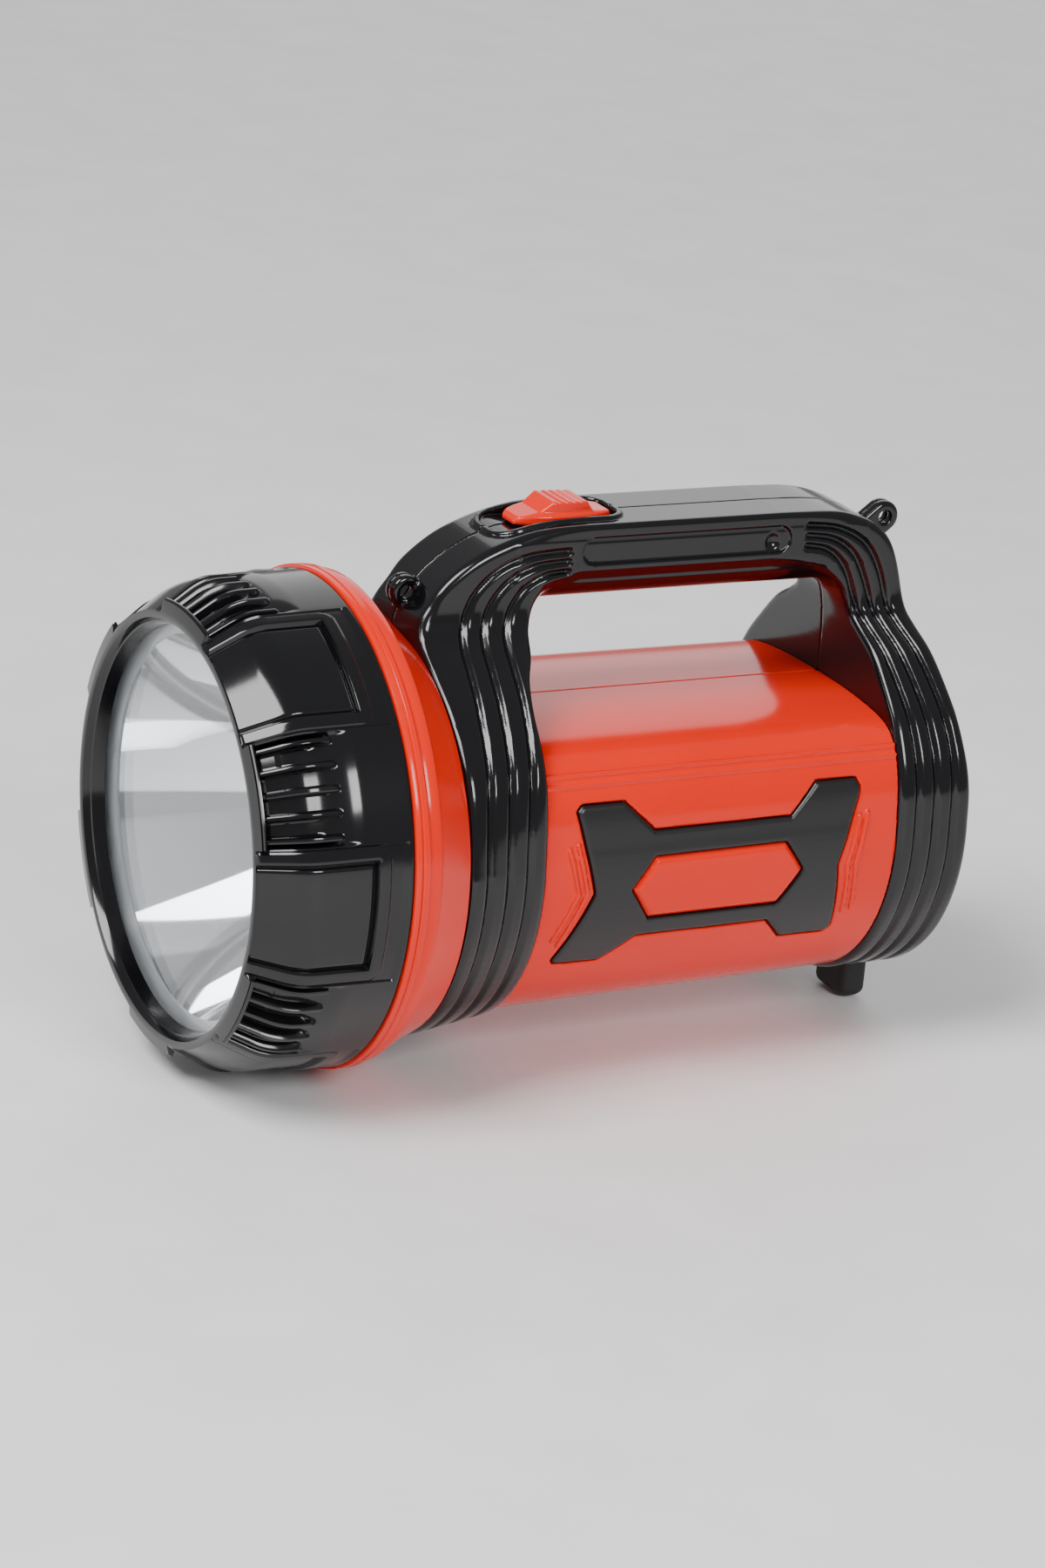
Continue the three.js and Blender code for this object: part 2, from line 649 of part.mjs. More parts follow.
piece('barrel_shell_left', makeShell(1), RED_ABS);
piece('barrel_shell_right', makeShell(-1), RED_ABS);

/** A side panel, curved to the barrel; side is +1 for left and -1 for right. */
function makePanel(side) {
  const from = side > 0 ? 20 : -BEYOND;
  const to = side > 0 ? BEYOND : -20;
  const outline = sideExtrusion(panelShape(0), from, to);
  const window = sideExtrusion(windowShape(CLEARANCE), from - 10, to + 10);
  const outer = barrelBody(-PANEL_PROUD, PANEL_FRONT - 3, PANEL_REAR + 3);
  const under = barrelBody(PANEL_DEPTH - CLEARANCE, PANEL_FRONT - 4, PANEL_REAR + 4);
  return outline.subtract(window).intersect(outer).subtract(under);
}

piece('side_panel_left', makePanel(1), BLACK_ABS);
piece('side_panel_right', makePanel(-1), BLACK_ABS);

// ---- Handle with front and rear arches ----

const archRadius = BARREL_RADIUS + ARCH_PROUD;
const openingFront = 50.3;
const openingRear = 140.8;

/** The handle seen from the side, in (y, z): two legs that run down past the barrel, and the grip. */
function handleProfile() {
  const low = -BEYOND + 20;
  const shape = new THREE.Shape();
  shape.moveTo(ARCH_FRONT, low);
  shape.lineTo(BARREL_FRONT, low);
  shape.lineTo(BARREL_FRONT, 30);
  shape.bezierCurveTo(BARREL_FRONT + 1, 38, openingFront - 1, 43, openingFront, 50);
  shape.bezierCurveTo(
    openingFront + 1.5, 60, openingFront + 5, GRIP_SIDE_BOTTOM, openingFront + 14, GRIP_SIDE_BOTTOM,
  );
  shape.lineTo(openingRear - 18, GRIP_SIDE_BOTTOM);
  shape.bezierCurveTo(openingRear - 8, GRIP_SIDE_BOTTOM, openingRear - 2, 58, openingRear, 50);
  shape.bezierCurveTo(openingRear + 0.8, 46, BARREL_REAR + 1, 37, BARREL_REAR + 1, 27);
  shape.lineTo(BARREL_REAR + 1, low);
  shape.lineTo(TORCH_REAR, low);
  shape.lineTo(TORCH_REAR, 4);
  shape.bezierCurveTo(163.6, 22, 161.6, 38, 155.5, 60);
  shape.bezierCurveTo(151, 70.5, 137, HANDLE_TOP, 120, HANDLE_TOP);
  shape.lineTo(66, HANDLE_TOP);
  shape.bezierCurveTo(44, HANDLE_TOP, 30, 65, ARCH_FRONT, 55.7);
  return shape;
}

/** The rounded underside of the grip, in (x, z). */
function gripBelly() {
  const shape = new THREE.Shape();
  shape.moveTo(GRIP_HALF_WIDTH - 0.4, GRIP_SIDE_BOTTOM + 1);
  shape.lineTo(0.4 - GRIP_HALF_WIDTH, GRIP_SIDE_BOTTOM + 1);
  shape.bezierCurveTo(-GRIP_HALF_WIDTH, GRIP_UNDERSIDE + 3, -7, GRIP_UNDERSIDE, 0, GRIP_UNDERSIDE);
  shape.bezierCurveTo(
    7, GRIP_UNDERSIDE, GRIP_HALF_WIDTH, GRIP_UNDERSIDE + 3, GRIP_HALF_WIDTH - 0.4, GRIP_SIDE_BOTTOM + 1,
  );
  return shape;
}

/** The section of an arch: the grip's width at the top, a flare, and a round band below. */
function archShape(flare) {
  const flankAngle = 10 * degrees;
  const half = new THREE.Path();
  half.absarc(0, BARREL_CENTRE, archRadius, -90 * degrees, flankAngle, false);
  half.splineThru(flare.map(([x, z]) => new THREE.Vector2(x, z)));
  half.lineTo(GRIP_HALF_WIDTH, 70);
  half.lineTo(0, 70);
  return mirrored(half, 5);
}

/** The front arch widens forwards to meet the neck, less so higher up. */
function frontArchReshape(x, y, z) {
  const forward = Math.min(Math.max((BARREL_FRONT - y) / (BARREL_FRONT - ARCH_FRONT), 0), 1);
  const share = forward * Math.min(Math.max((34 - z) / 34, 0), 1);
  const scale = 1 + (ARCH_FRONT_RADIUS / archRadius - 1) * share;
  return [x * scale, BARREL_CENTRE + share + (z - BARREL_CENTRE) * scale];
}

const gripTopHalf = GRIP_HALF_WIDTH - HANDLE_WALL;
const pocketFloorHeight = HANDLE_TOP - POCKET_DEPTH;
const slotFront = SWITCH_MIDDLE - KNOB_LENGTH / 2 - KNOB_TRAVEL;
const slotRear = SWITCH_MIDDLE + KNOB_LENGTH / 2;
const handleScrewPlaces = [
  ['handle_screw_front', 37, 61],
  ['handle_screw_middle', 94, 64],
  ['handle_screw_rear', 148, 57],
];
const handleScrewSeat = -9;

/** The wiring space inside the grip and pillars, in (y, z). */
function gripCavityShape() {
  const top = HANDLE_TOP - HANDLE_WALL;
  const bottom = GRIP_UNDERSIDE + HANDLE_WALL;
  const shape = new THREE.Shape();
  shape.moveTo(30, 40);
  shape.lineTo(40, 40);
  shape.bezierCurveTo(44, 52, 50, bottom, 60, bottom);
  shape.lineTo(124, bottom);
  shape.bezierCurveTo(136, bottom, 144, 50, 147, 40);
  shape.lineTo(155, 40);
  shape.bezierCurveTo(152, 52, 152, 58, 150, 61);
  shape.bezierCurveTo(147, 69, 138, top, 122, top);
  shape.lineTo(60, top);
  shape.bezierCurveTo(46, top, 38, 68, 32, 61);
  return shape;
}

/** The rear arch narrows with the barrel, less so higher up. */
function rearArchReshape(x, y, z) {
  const share = Math.min(Math.max((34 - z) / 34, 0), 1);
  const scale = 1 + (taper(y) - 1) * share;
  return [x * scale, z > BARREL_CENTRE ? z : BARREL_CENTRE + (z - BARREL_CENTRE) * scale];
}

/** The grip's section above the barrel, in (x, z), with its two top edges rounded. */
function gripSection() {
  const shape = new THREE.Shape();
  shape.moveTo(-GRIP_HALF_WIDTH, ROOF_HEIGHT - 3);
  shape.lineTo(GRIP_HALF_WIDTH, ROOF_HEIGHT - 3);
  shape.lineTo(GRIP_HALF_WIDTH, HANDLE_TOP - GRIP_ROUNDING);
  shape.absarc(GRIP_HALF_WIDTH - GRIP_ROUNDING, HANDLE_TOP - GRIP_ROUNDING, GRIP_ROUNDING, 0, 90 * degrees);
  shape.absarc(
    GRIP_ROUNDING - GRIP_HALF_WIDTH, HANDLE_TOP - GRIP_ROUNDING, GRIP_ROUNDING, 90 * degrees, 180 * degrees,
  );
  return shape;
}

function makeHandle(side) {
  const reach = 60;
  const middle = (BARREL_FRONT + BARREL_REAR) / 2;
  const keepSection = (x, y, z) => [x, z];
  const profile = sideExtrusion(handleProfile(), -reach, reach, 5);
  const rounded = sectionExtrusion(gripSection(), ARCH_FRONT - 1, TORCH_REAR + 1, keepSection, 3);
  const belly = sectionExtrusion(gripBelly(), openingFront - 3, openingRear + 4, keepSection, 5);
  const front = sectionExtrusion(archShape(FRONT_FLARE), ARCH_FRONT - 1, openingFront, frontArchReshape, 7);
  const rear = sectionExtrusion(archShape(REAR_FLARE), openingRear, TORCH_REAR + 1, rearArchReshape, 7);
  const legs = front.add(rear).subtract(block([-reach, -BEYOND, 66], [reach, 3 * BEYOND, 2 * BEYOND]));
  let handle = legs.add(rounded).intersect(profile).add(belly);

  const lugs = [[22, 57], [156.5, 68.1]];
  for (const [y, z] of lugs) {
    const reachIn = y < middle ? 6 : -6;
    const root = block([-LUG_THICKNESS / 2, Math.min(y, y + reachIn), z - 5.5],
      [LUG_THICKNESS / 2, Math.max(y, y + reachIn), z + 1]);
    const eye = crossBar(LUG_RADIUS, -LUG_THICKNESS / 2, LUG_THICKNESS / 2, y, z, 20);
    const hole = crossBar(LUG_HOLE_RADIUS, -reach, reach, y, z, 14);
    handle = handle.add(eye.add(root)).subtract(hole);
  }

  const underSwitch = block(
    [-reach, slotFront - 8, pocketFloorHeight - HANDLE_WALL], [reach, slotRear + 8, BEYOND],
  );
  const cavity = sideExtrusion(gripCavityShape(), -gripTopHalf, gripTopHalf, 5).subtract(underSwitch);
  const bosses = handleScrewPlaces.map(
    ([, y, z]) => crossBar(BOSS_RADIUS, -gripTopHalf - 1, gripTopHalf + 1, y, z),
  );
  handle = handle.subtract(cavity.subtract(joined(bosses)));

  const barrelRoom = joined([
    barrelBody(REBATE - CLEARANCE, shellFront - 2, BEYOND * 2),
    turned([
      [0, NECK_END],
      [SLEEVE_RADIUS + CLEARANCE, NECK_END],
      [SLEEVE_RADIUS + CLEARANCE, shellFront],
      [0, shellFront],
    ], ROUND_STEPS, neckLift),
  ]);
  handle = handle.subtract(barrelRoom);

  const pocketHalf = KNOB_WIDTH / 2 + CLEARANCE;
  const slotMiddle = SWITCH_MIDDLE - KNOB_TRAVEL / 2;
  handle = handle.subtract(joined([
    block([-pocketHalf, slotFront - CLEARANCE, pocketFloorHeight], [pocketHalf, slotRear + CLEARANCE, BEYOND]),
    block([-SLOT_WIDTH / 2 - CLEARANCE, slotMiddle - 7, 60], [SLOT_WIDTH / 2 + CLEARANCE, slotMiddle + 7,
        BEYOND]),
  ]));

  const recessMiddle = [93.2, 67.7];
  const recessRadius = SIDE_RECESS_HEIGHT / 2;
  const recessHalf = SIDE_RECESS_LENGTH / 2 - recessRadius;
  const recess = new THREE.Shape();
  recess.moveTo(recessMiddle[0] - recessHalf, recessMiddle[1] - recessRadius);
  recess.absarc(
    recessMiddle[0] + recessHalf, recessMiddle[1], recessRadius, -90 * degrees, 90 * degrees, false,
  );
  recess.absarc(
    recessMiddle[0] - recessHalf, recessMiddle[1], recessRadius, 90 * degrees, 270 * degrees, false,
  );
  const recessFace = GRIP_HALF_WIDTH - SIDE_RECESS_DEPTH;
  handle = handle.subtract(sideExtrusion(recess, recessFace, reach, 5));
  handle = handle.subtract(sideExtrusion(recess, -reach, -recessFace, 5));

  for (const [, y, z] of handleScrewPlaces) {
    handle = handle.subtract(crossBar(SCREW_RADIUS + CLEARANCE, -reach, screwTip + 1, y, z, 12));
    handle = handle.subtract(crossBar(SCREW_HEAD_RADIUS + CLEARANCE, -reach, handleScrewSeat, y, z));
  }
  return handle.intersect(side > 0 ? leftHalf : rightHalf);
}

piece('handle_left', makeHandle(1), BLACK_ABS);
piece('handle_right', makeHandle(-1), BLACK_ABS);

// ---- Slide switch ----

function makeKnob() {
  const floor = pocketFloorHeight + CLEARANCE;
  const half = KNOB_LENGTH / 2;
  const baseTop = HANDLE_TOP + 0.2;
  const padTop = HANDLE_TOP + THUMB_PAD_HEIGHT;
  const outline = [
    [SWITCH_MIDDLE - half, floor],
    [SWITCH_MIDDLE + half, floor],
    [SWITCH_MIDDLE + half, baseTop - 0.6],
    [SWITCH_MIDDLE + half - 0.8, baseTop],
    [SWITCH_MIDDLE + 7.2, baseTop + 0.6],
    [SWITCH_MIDDLE + 5.4, padTop - 0.4],
    [SWITCH_MIDDLE - 3.6, padTop],
    [SWITCH_MIDDLE - 7, baseTop + 0.8],
    [SWITCH_MIDDLE - half + 1.6, baseTop - 0.6],
    [SWITCH_MIDDLE - half, baseTop - 1.4],
  ];
  const wide = sideExtrusion(polygon(outline), -KNOB_WIDTH / 2, KNOB_WIDTH / 2);
  const narrowing = new THREE.Shape();
  narrowing.moveTo(-KNOB_WIDTH / 2 - 1, floor - 1);
  narrowing.lineTo(KNOB_WIDTH / 2 + 1, floor - 1);
  narrowing.lineTo(KNOB_WIDTH / 2 + 1, baseTop);
  narrowing.lineTo(KNOB_WIDTH / 2 - 0.8, baseTop);
  narrowing.lineTo(KNOB_WIDTH / 2 - 1.8, padTop + 1);
  narrowing.lineTo(1.8 - KNOB_WIDTH / 2, padTop + 1);
  narrowing.lineTo(0.8 - KNOB_WIDTH / 2, baseTop);
  narrowing.lineTo(-KNOB_WIDTH / 2 - 1, baseTop);
  const around = sectionExtrusion(
    narrowing, SWITCH_MIDDLE - BEYOND, SWITCH_MIDDLE + BEYOND, (x, y, z) => [x, z],
  );
  let knob = wide.intersect(around);
  for (let i = 0; i < 4; i += 1) {
    const y = SWITCH_MIDDLE - 1.8 + i * 1.9;
    knob = knob.subtract(block([-KNOB_WIDTH, y, padTop - 0.9], [KNOB_WIDTH, y + 0.8, BEYOND]));
  }
  const stem = block([-SLOT_WIDTH / 2, SWITCH_MIDDLE - 3.5, leverTop - 1.6], [SLOT_WIDTH / 2,
      SWITCH_MIDDLE + 3.5, floor + 0.2]);
  const socket = block([-leverHalf - CLEARANCE, SWITCH_MIDDLE - leverHalf - CLEARANCE, 0],
    [leverHalf + CLEARANCE, SWITCH_MIDDLE + leverHalf + CLEARANCE, leverTop + CLEARANCE]);
  return knob.add(stem).subtract(socket);
}

const leverHalf = 1.2;
const leverTop = pocketFloorHeight - 0.8;
const switchTop = pocketFloorHeight - HANDLE_WALL - CLEARANCE;
const switchBottom = switchTop - 6;

piece('switch_knob', makeKnob(), RED_ABS);
piece('switch_lever', block(
  [-leverHalf, SWITCH_MIDDLE - leverHalf, switchTop + CLEARANCE],
  [leverHalf, SWITCH_MIDDLE + leverHalf, leverTop],
), BLACK_ABS);
piece('switch_body', block(
  [-4, SWITCH_MIDDLE - KNOB_TRAVEL / 2 - 10, switchBottom],
  [4, SWITCH_MIDDLE - KNOB_TRAVEL / 2 + 10, switchTop],
), STEEL);

// ---- Battery and charger ----

const padHalf = FOAM_WIDTH / 2;
const padInset = 6;

piece('battery', block(
  [-BATTERY_WIDTH / 2, BATTERY_FRONT, batteryBottom],
  [BATTERY_WIDTH / 2, batteryRear, batteryTop],
), BATTERY_GREY);
piece('battery_pad_lower', block(
  [-padHalf, BATTERY_FRONT + padInset, batteryBottom - CLEARANCE - FOAM_THICKNESS],
  [padHalf, batteryRear - padInset, batteryBottom - CLEARANCE],
), FOAM);
piece('battery_pad_upper', block(
  [-padHalf, BATTERY_FRONT + padInset, batteryTop + CLEARANCE],
  [padHalf, batteryRear - padInset, batteryTop + CLEARANCE + FOAM_THICKNESS],
), FOAM);

const boardFront = batteryRear + 14;
const boardBottom = -24;
const boardTop = 15;
const boardHalf = 22;
const boardLow = [-boardHalf, boardFront, boardBottom];
const boardHigh = [boardHalf, boardFront + BOARD_THICKNESS, boardTop];
piece('charger_board', block(boardLow, boardHigh), BOARD_GREEN);
piece('charger_capacitor', block(
  [-16, boardFront - CLEARANCE - 9, -20],
  [2, boardFront - CLEARANCE, -6],
), CAPACITOR_YELLOW);
piece('charger_inductor', turnedAt([
  [0, boardFront - CLEARANCE - 8],
  [5, boardFront - CLEARANCE - 8],
  [5, boardFront - CLEARANCE],
  [0, boardFront - CLEARANCE],
], 12, 0, 20), BLACK_ABS);

// ---- Rear cover with charging socket and indicator ----

const socketHeight = -8;
const indicatorHeight = 12;
const indicatorRadius = 2.2;
const socketFront = boardFront + BOARD_THICKNESS + CLEARANCE + 3;
const socketFlangeRadius = SOCKET_RADIUS + 2;

function makeCover() {
  const plate = barrelBody(REBATE, coverFront, coverRear);
  const socketHole = turnedAt([
    [0, coverFront - 1],
    [SOCKET_RADIUS + CLEARANCE, coverFront - 1],
    [SOCKET_RADIUS + CLEARANCE, coverRear + 1],
    [0, coverRear + 1],
  ], 0, socketHeight);
  const indicatorHole = turnedAt([
    [0, coverFront - 1],
    [indicatorRadius + CLEARANCE, coverFront - 1],
    [indicatorRadius + CLEARANCE, coverRear + 1],
    [0, coverRear + 1],
  ], 0, indicatorHeight, 16);
  const seat = coverRear - SCREW_HEAD_HEIGHT;
  const screwHoles = coverScrewPlaces.map(([, x, z]) => turnedAt([
    [0, coverFront - 1],
    [SCREW_RADIUS + CLEARANCE, coverFront - 1],
    [SCREW_RADIUS + CLEARANCE, seat],
    [SCREW_HEAD_RADIUS + CLEARANCE, seat],
    [SCREW_HEAD_RADIUS + CLEARANCE, coverRear + 1],
    [0, coverRear + 1],
  ], x, z, 16));
  return plate.subtract(joined([socketHole, indicatorHole, ...screwHoles]));
}

piece('rear_cover', makeCover(), BLACK_ABS);

function makeSocket() {
  const wall = 1.6;
  return turnedAt([
    [0, socketFront],
    [socketFlangeRadius, socketFront],
    [socketFlangeRadius, coverFront - CLEARANCE],
    [SOCKET_RADIUS, coverFront - CLEARANCE],
    [SOCKET_RADIUS, coverRear - 0.4],
    [SOCKET_RADIUS - wall, coverRear - 0.4],
    [SOCKET_RADIUS - wall, coverFront - 6],
    [0, coverFront - 6],
  ], 0, socketHeight, 28);
}

const pinRadius = 1.2;
const pinSpacing = 3.2;
const pinHoles = [-pinSpacing, pinSpacing].map((x) => turnedAt([
  [0, socketFront + 1.5],
  [pinRadius + CLEARANCE, socketFront + 1.5],
  [pinRadius + CLEARANCE, coverFront],
  [0, coverFront],
], x, socketHeight, 12));
piece('charge_socket', makeSocket().subtract(joined(pinHoles)), BLACK_ABS);
for (const [name, x] of [['socket_pin_left', pinSpacing], ['socket_pin_right', -pinSpacing]]) {
  piece(name, turnedAt([
    [0, socketFront + 1.5 + CLEARANCE],
    [pinRadius, socketFront + 1.5 + CLEARANCE],
    [pinRadius, coverRear - 2],
    [0, coverRear - 1.2],
  ], x, socketHeight, 12), STEEL);
}
piece('charge_indicator', turnedAt([
  [0, boardFront + BOARD_THICKNESS + CLEARANCE],
  [indicatorRadius, boardFront + BOARD_THICKNESS + CLEARANCE],
  [indicatorRadius, coverRear],
  [0, coverRear + 0.6],
], 0, indicatorHeight, 16), GREEN_LIGHT);

// ---- Foot ----

const footBottom = -COLLAR_RADIUS;
const footFront = TORCH_REAR - FOOT_LENGTH;

function makeFoot() {
  const shape = new THREE.Shape();
  shape.moveTo(footFront, BARREL_CENTRE - 36);
  shape.lineTo(footFront, footBottom + 4);
  shape.quadraticCurveTo(footFront, footBottom, footFront + 2, footBottom);
  shape.lineTo(TORCH_REAR - 2.6, footBottom);
  shape.quadraticCurveTo(TORCH_REAR, footBottom, TORCH_REAR, footBottom + 3.4);
  shape.lineTo(TORCH_REAR, BARREL_CENTRE - 36);
  return sideExtrusion(shape, -FOOT_HALF_WIDTH, FOOT_HALF_WIDTH, 5, 1.2);
}

const footRoom = barrelBody(-ARCH_PROUD - CLEARANCE, BARREL_REAR - 5, TORCH_REAR + 5);
piece('rear_foot', makeFoot().subtract(footRoom), RUBBER);

// ---- Screws ----

/** A pan-head screw along +X with its seat at x and its tip inside the left half. */
function crossScrew(seat, y, z) {
  return crossBar(SCREW_RADIUS, seat - 1, screwTip, y, z, 10)
    .add(crossBar(SCREW_HEAD_RADIUS, seat - CLEARANCE - SCREW_HEAD_HEIGHT, seat - CLEARANCE, y, z, 14));
}

for (const [name, y, z] of bodyScrewPlaces) {
  piece(name, crossScrew(bodyScrewSeat, y, z), STEEL);
}
for (const [name, y, z] of handleScrewPlaces) {
  piece(name, crossScrew(handleScrewSeat, y, z), STEEL);
}
for (const [name, x, z] of coverScrewPlaces) {
  const seat = coverRear - SCREW_HEAD_HEIGHT + CLEARANCE;
  piece(name, turnedAt([
    [0, shellRear - 8],
    [SCREW_RADIUS, shellRear - 8],
    [SCREW_RADIUS, seat],
    [SCREW_HEAD_RADIUS, seat],
    [SCREW_HEAD_RADIUS, coverRear - 0.2],
    [0, coverRear - 0.2],
  ], x, z, 14), STEEL);
}

// ---- Place the torch: standing on z = 0, centred on its length and width ----

torch.position.set(0, -(TORCH_REAR - BEZEL_LENGTH) / 2, COLLAR_RADIUS);

export default torch;
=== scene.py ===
"""Looks of a rechargeable hand searchlight: a screw-on bezel, a red barrel and a black handle on two arches.

Moulded shells are described as signed fields in millimetres, in the head's own frame: y = 0 is the seam
between bezel and collar, z = 0 is the optical axis, the lens faces -Y and +X is the torch's left side.
"""

import logging
from dataclasses import dataclass
from enum import Enum
from functools import partial
from typing import Callable, Sequence

import bpy
import numpy as np
from mathutils import Matrix, Vector

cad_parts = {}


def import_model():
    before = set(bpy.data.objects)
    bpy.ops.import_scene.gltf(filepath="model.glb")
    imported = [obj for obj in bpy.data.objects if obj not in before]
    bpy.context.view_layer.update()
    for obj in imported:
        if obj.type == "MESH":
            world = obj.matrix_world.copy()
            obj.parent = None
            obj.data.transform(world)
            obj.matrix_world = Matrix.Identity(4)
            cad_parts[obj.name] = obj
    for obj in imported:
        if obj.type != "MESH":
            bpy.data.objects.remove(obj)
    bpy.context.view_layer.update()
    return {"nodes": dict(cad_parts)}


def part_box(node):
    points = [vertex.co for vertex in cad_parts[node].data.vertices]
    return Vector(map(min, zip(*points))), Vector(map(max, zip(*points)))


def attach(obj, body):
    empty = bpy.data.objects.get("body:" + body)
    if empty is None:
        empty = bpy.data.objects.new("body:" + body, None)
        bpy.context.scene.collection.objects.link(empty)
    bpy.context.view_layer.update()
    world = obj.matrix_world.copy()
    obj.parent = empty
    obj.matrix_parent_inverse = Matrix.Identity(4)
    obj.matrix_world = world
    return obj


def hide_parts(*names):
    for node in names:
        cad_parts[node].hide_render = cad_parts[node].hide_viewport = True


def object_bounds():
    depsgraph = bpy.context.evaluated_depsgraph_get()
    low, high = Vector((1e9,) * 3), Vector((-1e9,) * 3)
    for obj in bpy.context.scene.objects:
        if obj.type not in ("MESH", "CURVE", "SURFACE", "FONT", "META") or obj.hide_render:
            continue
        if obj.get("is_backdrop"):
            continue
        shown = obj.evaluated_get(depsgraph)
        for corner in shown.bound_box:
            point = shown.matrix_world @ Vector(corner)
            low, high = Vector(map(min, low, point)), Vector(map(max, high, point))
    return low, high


LOG = logging.getLogger("searchlight")
MM = 0.001
Array = np.ndarray
Field = Callable[[Array, Array, Array], Array]
Point = tuple[float, float]

# A field value that stands for well outside, in millimetres.
FAR = 9.0


class Body(Enum):
    """The rigid bodies that pieces ride on."""

    TORCH = "torch_body"
    LENS = "lens_carrier"
    BEZEL = "bezel"
    SLIDER = "switch_slider"


class Side(Enum):
    """A half of the torch, as the sign of its X."""

    LEFT = 1
    RIGHT = -1

    @property
    def word(self) -> str:
        """The side's name as node names spell it."""
        return self.name.lower()


# ---- Fields: what every moulded shell is described with ----


def smooth_max(a: Array, b: Array, radius: float) -> Array:
    """The larger of two fields, rounded where they meet.

    Args:
        a: First field's values.
        b: Second field's values.
        radius: How far from the meeting line the rounding reaches, in millimetres.

    Returns:
        The rounded intersection of the two solids.
    """
    near = np.maximum(radius - np.abs(a - b), 0.0) / radius
    return np.maximum(a, b) + near * near * radius * 0.25


def smooth_min(a: Array, b: Array, radius: float) -> Array:
    """The rounded union of two solids: the mirror of smooth_max."""
    return -smooth_max(-a, -b, radius)


def ramp(value: Array, start: float, end: float) -> Array:
    """A smooth step from 0 at start to 1 at end."""
    share = np.clip((value - start) / (end - start), 0.0, 1.0)
    return share * share * (3.0 - 2.0 * share)


def rounded(wide: Array, long: Array, corner: float) -> Array:
    """A rectangle with round corners.

    Args:
        wide: How far points are past its side.
        long: How far they are past its end.
        corner: Its corners' radius.

    Returns:
        Distances to its outline, negative inside.
    """
    u, v = wide + corner, long + corner
    return np.hypot(np.maximum(u, 0), np.maximum(v, 0)) + np.minimum(np.maximum(u, v), 0) - corner


def mirrored(right: Sequence[Point]) -> list[Point]:
    """A closed section from its right side, which starts and ends on the middle line."""
    left = [(-x, z) for x, z in right if x > 0.01][::-1]
    return [(float(x), float(z)) for x, z in [*right, *left]]


def flowing(points: Sequence[Point], closed: bool = False, steps: int = 8) -> list[Point]:
    """A smooth line through points.

    Args:
        points: The points it passes through.
        closed: Whether it returns to its first point.
        steps: Short lines for each stretch between two points.

    Returns:
        The line's own points.
    """
    known = np.array(points, float)
    count = len(known)
    line: list[Point] = []
    for i in range(count if closed else count - 1):
        before = known[(i - 1) % count] if closed or i > 0 else known[i]
        here = known[i]
        there = known[(i + 1) % count]
        after = known[(i + 2) % count] if closed or i + 2 < count else there
        for t in np.arange(steps) / steps:
            a = 2 * here + (there - before) * t
            b = (2 * before - 5 * here + 4 * there - after) * t**2
            c = (3 * here - before - 3 * there + after) * t**3
            spot = 0.5 * (a + b + c)
            line.append((float(spot[0]), float(spot[1])))
    if not closed:
        line.append((float(known[-1][0]), float(known[-1][1])))
    return line


class Outline:
    """Distance to a flat line or region, kept on a fine raster so that it is quick to read."""

    CELL = 0.35
    MARGIN = 12.0

    def __init__(self, points: Sequence[Point], closed: bool = True) -> None:
        """Measures the raster.

        Args:
            points: Corners in order.
            closed: True for a region, whose inside is negative; False for an open line.
        """
        corners = np.array(points, float)
        self.low = corners.min(0) - self.MARGIN
        counts = np.ceil((corners.max(0) + self.MARGIN - self.low) / self.CELL).astype(int) + 1
        u, v = np.meshgrid(*(self.low[i] + self.CELL * np.arange(counts[i]) for i in (0, 1)), indexing="ij")
        nearest = np.full(u.shape, np.inf)
        inside = np.zeros(u.shape, bool)
        for i in range(len(corners) if closed else len(corners) - 1):
            a, b = corners[i], corners[(i + 1) % len(corners)]
            along = b - a
            share = np.clip(((u - a[0]) * along[0] + (v - a[1]) * along[1]) / (along @ along + 1e-12), 0, 1)
            gap = (u - a[0] - share * along[0]) ** 2 + (v - a[1] - share * along[1]) ** 2
            nearest = np.minimum(nearest, gap)
            if closed and a[1] != b[1]:
                crosses = (a[1] > v) != (b[1] > v)
                inside ^= crosses & (u < along[0] * (v - a[1]) / along[1] + a[0])
        self.values = np.where(inside, -np.sqrt(nearest), np.sqrt(nearest))

    def __call__(self, u: Array, v: Array) -> Array:
        """Reads the distance between the raster's points.

        Args:
            u: Points' first coordinate.
            v: Points' second coordinate.

        Returns:
            Distances in millimetres.
        """
        limits = np.array(self.values.shape) - 1.001
        gu = (u - self.low[0]) / self.CELL
        gv = (v - self.low[1]) / self.CELL
        cu, cv = np.clip(gu, 0, limits[0]), np.clip(gv, 0, limits[1])
        iu, iv = cu.astype(int), cv.astype(int)
        fu, fv = cu - iu, cv - iv
        grid = self.values
        near = grid[iu, iv] * (1 - fv) + grid[iu, iv + 1] * fv
        far = grid[iu + 1, iv] * (1 - fv) + grid[iu + 1, iv + 1] * fv
        outside = np.hypot(gu - cu, gv - cv) * self.CELL
        return near * (1 - fu) + far * fu + outside


@dataclass(frozen=True)
class Place:
    """Where the head's own frame stands in the row frame, in metres."""

    seam_y: float
    axis_z: float

    @classmethod
    def from_frame(cls) -> "Place":
        """Reads the seam and the optical axis from the CAD bezel's box."""
        low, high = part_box("bezel_ring")
        return cls(high[1] + 0.3 * MM, (low[2] + high[2]) / 2)

    def row(self, points: Array) -> Array:
        """Points in the head's frame, in millimetres, as row-frame metres."""
        return points * MM + np.array([0.0, self.seam_y, self.axis_z])


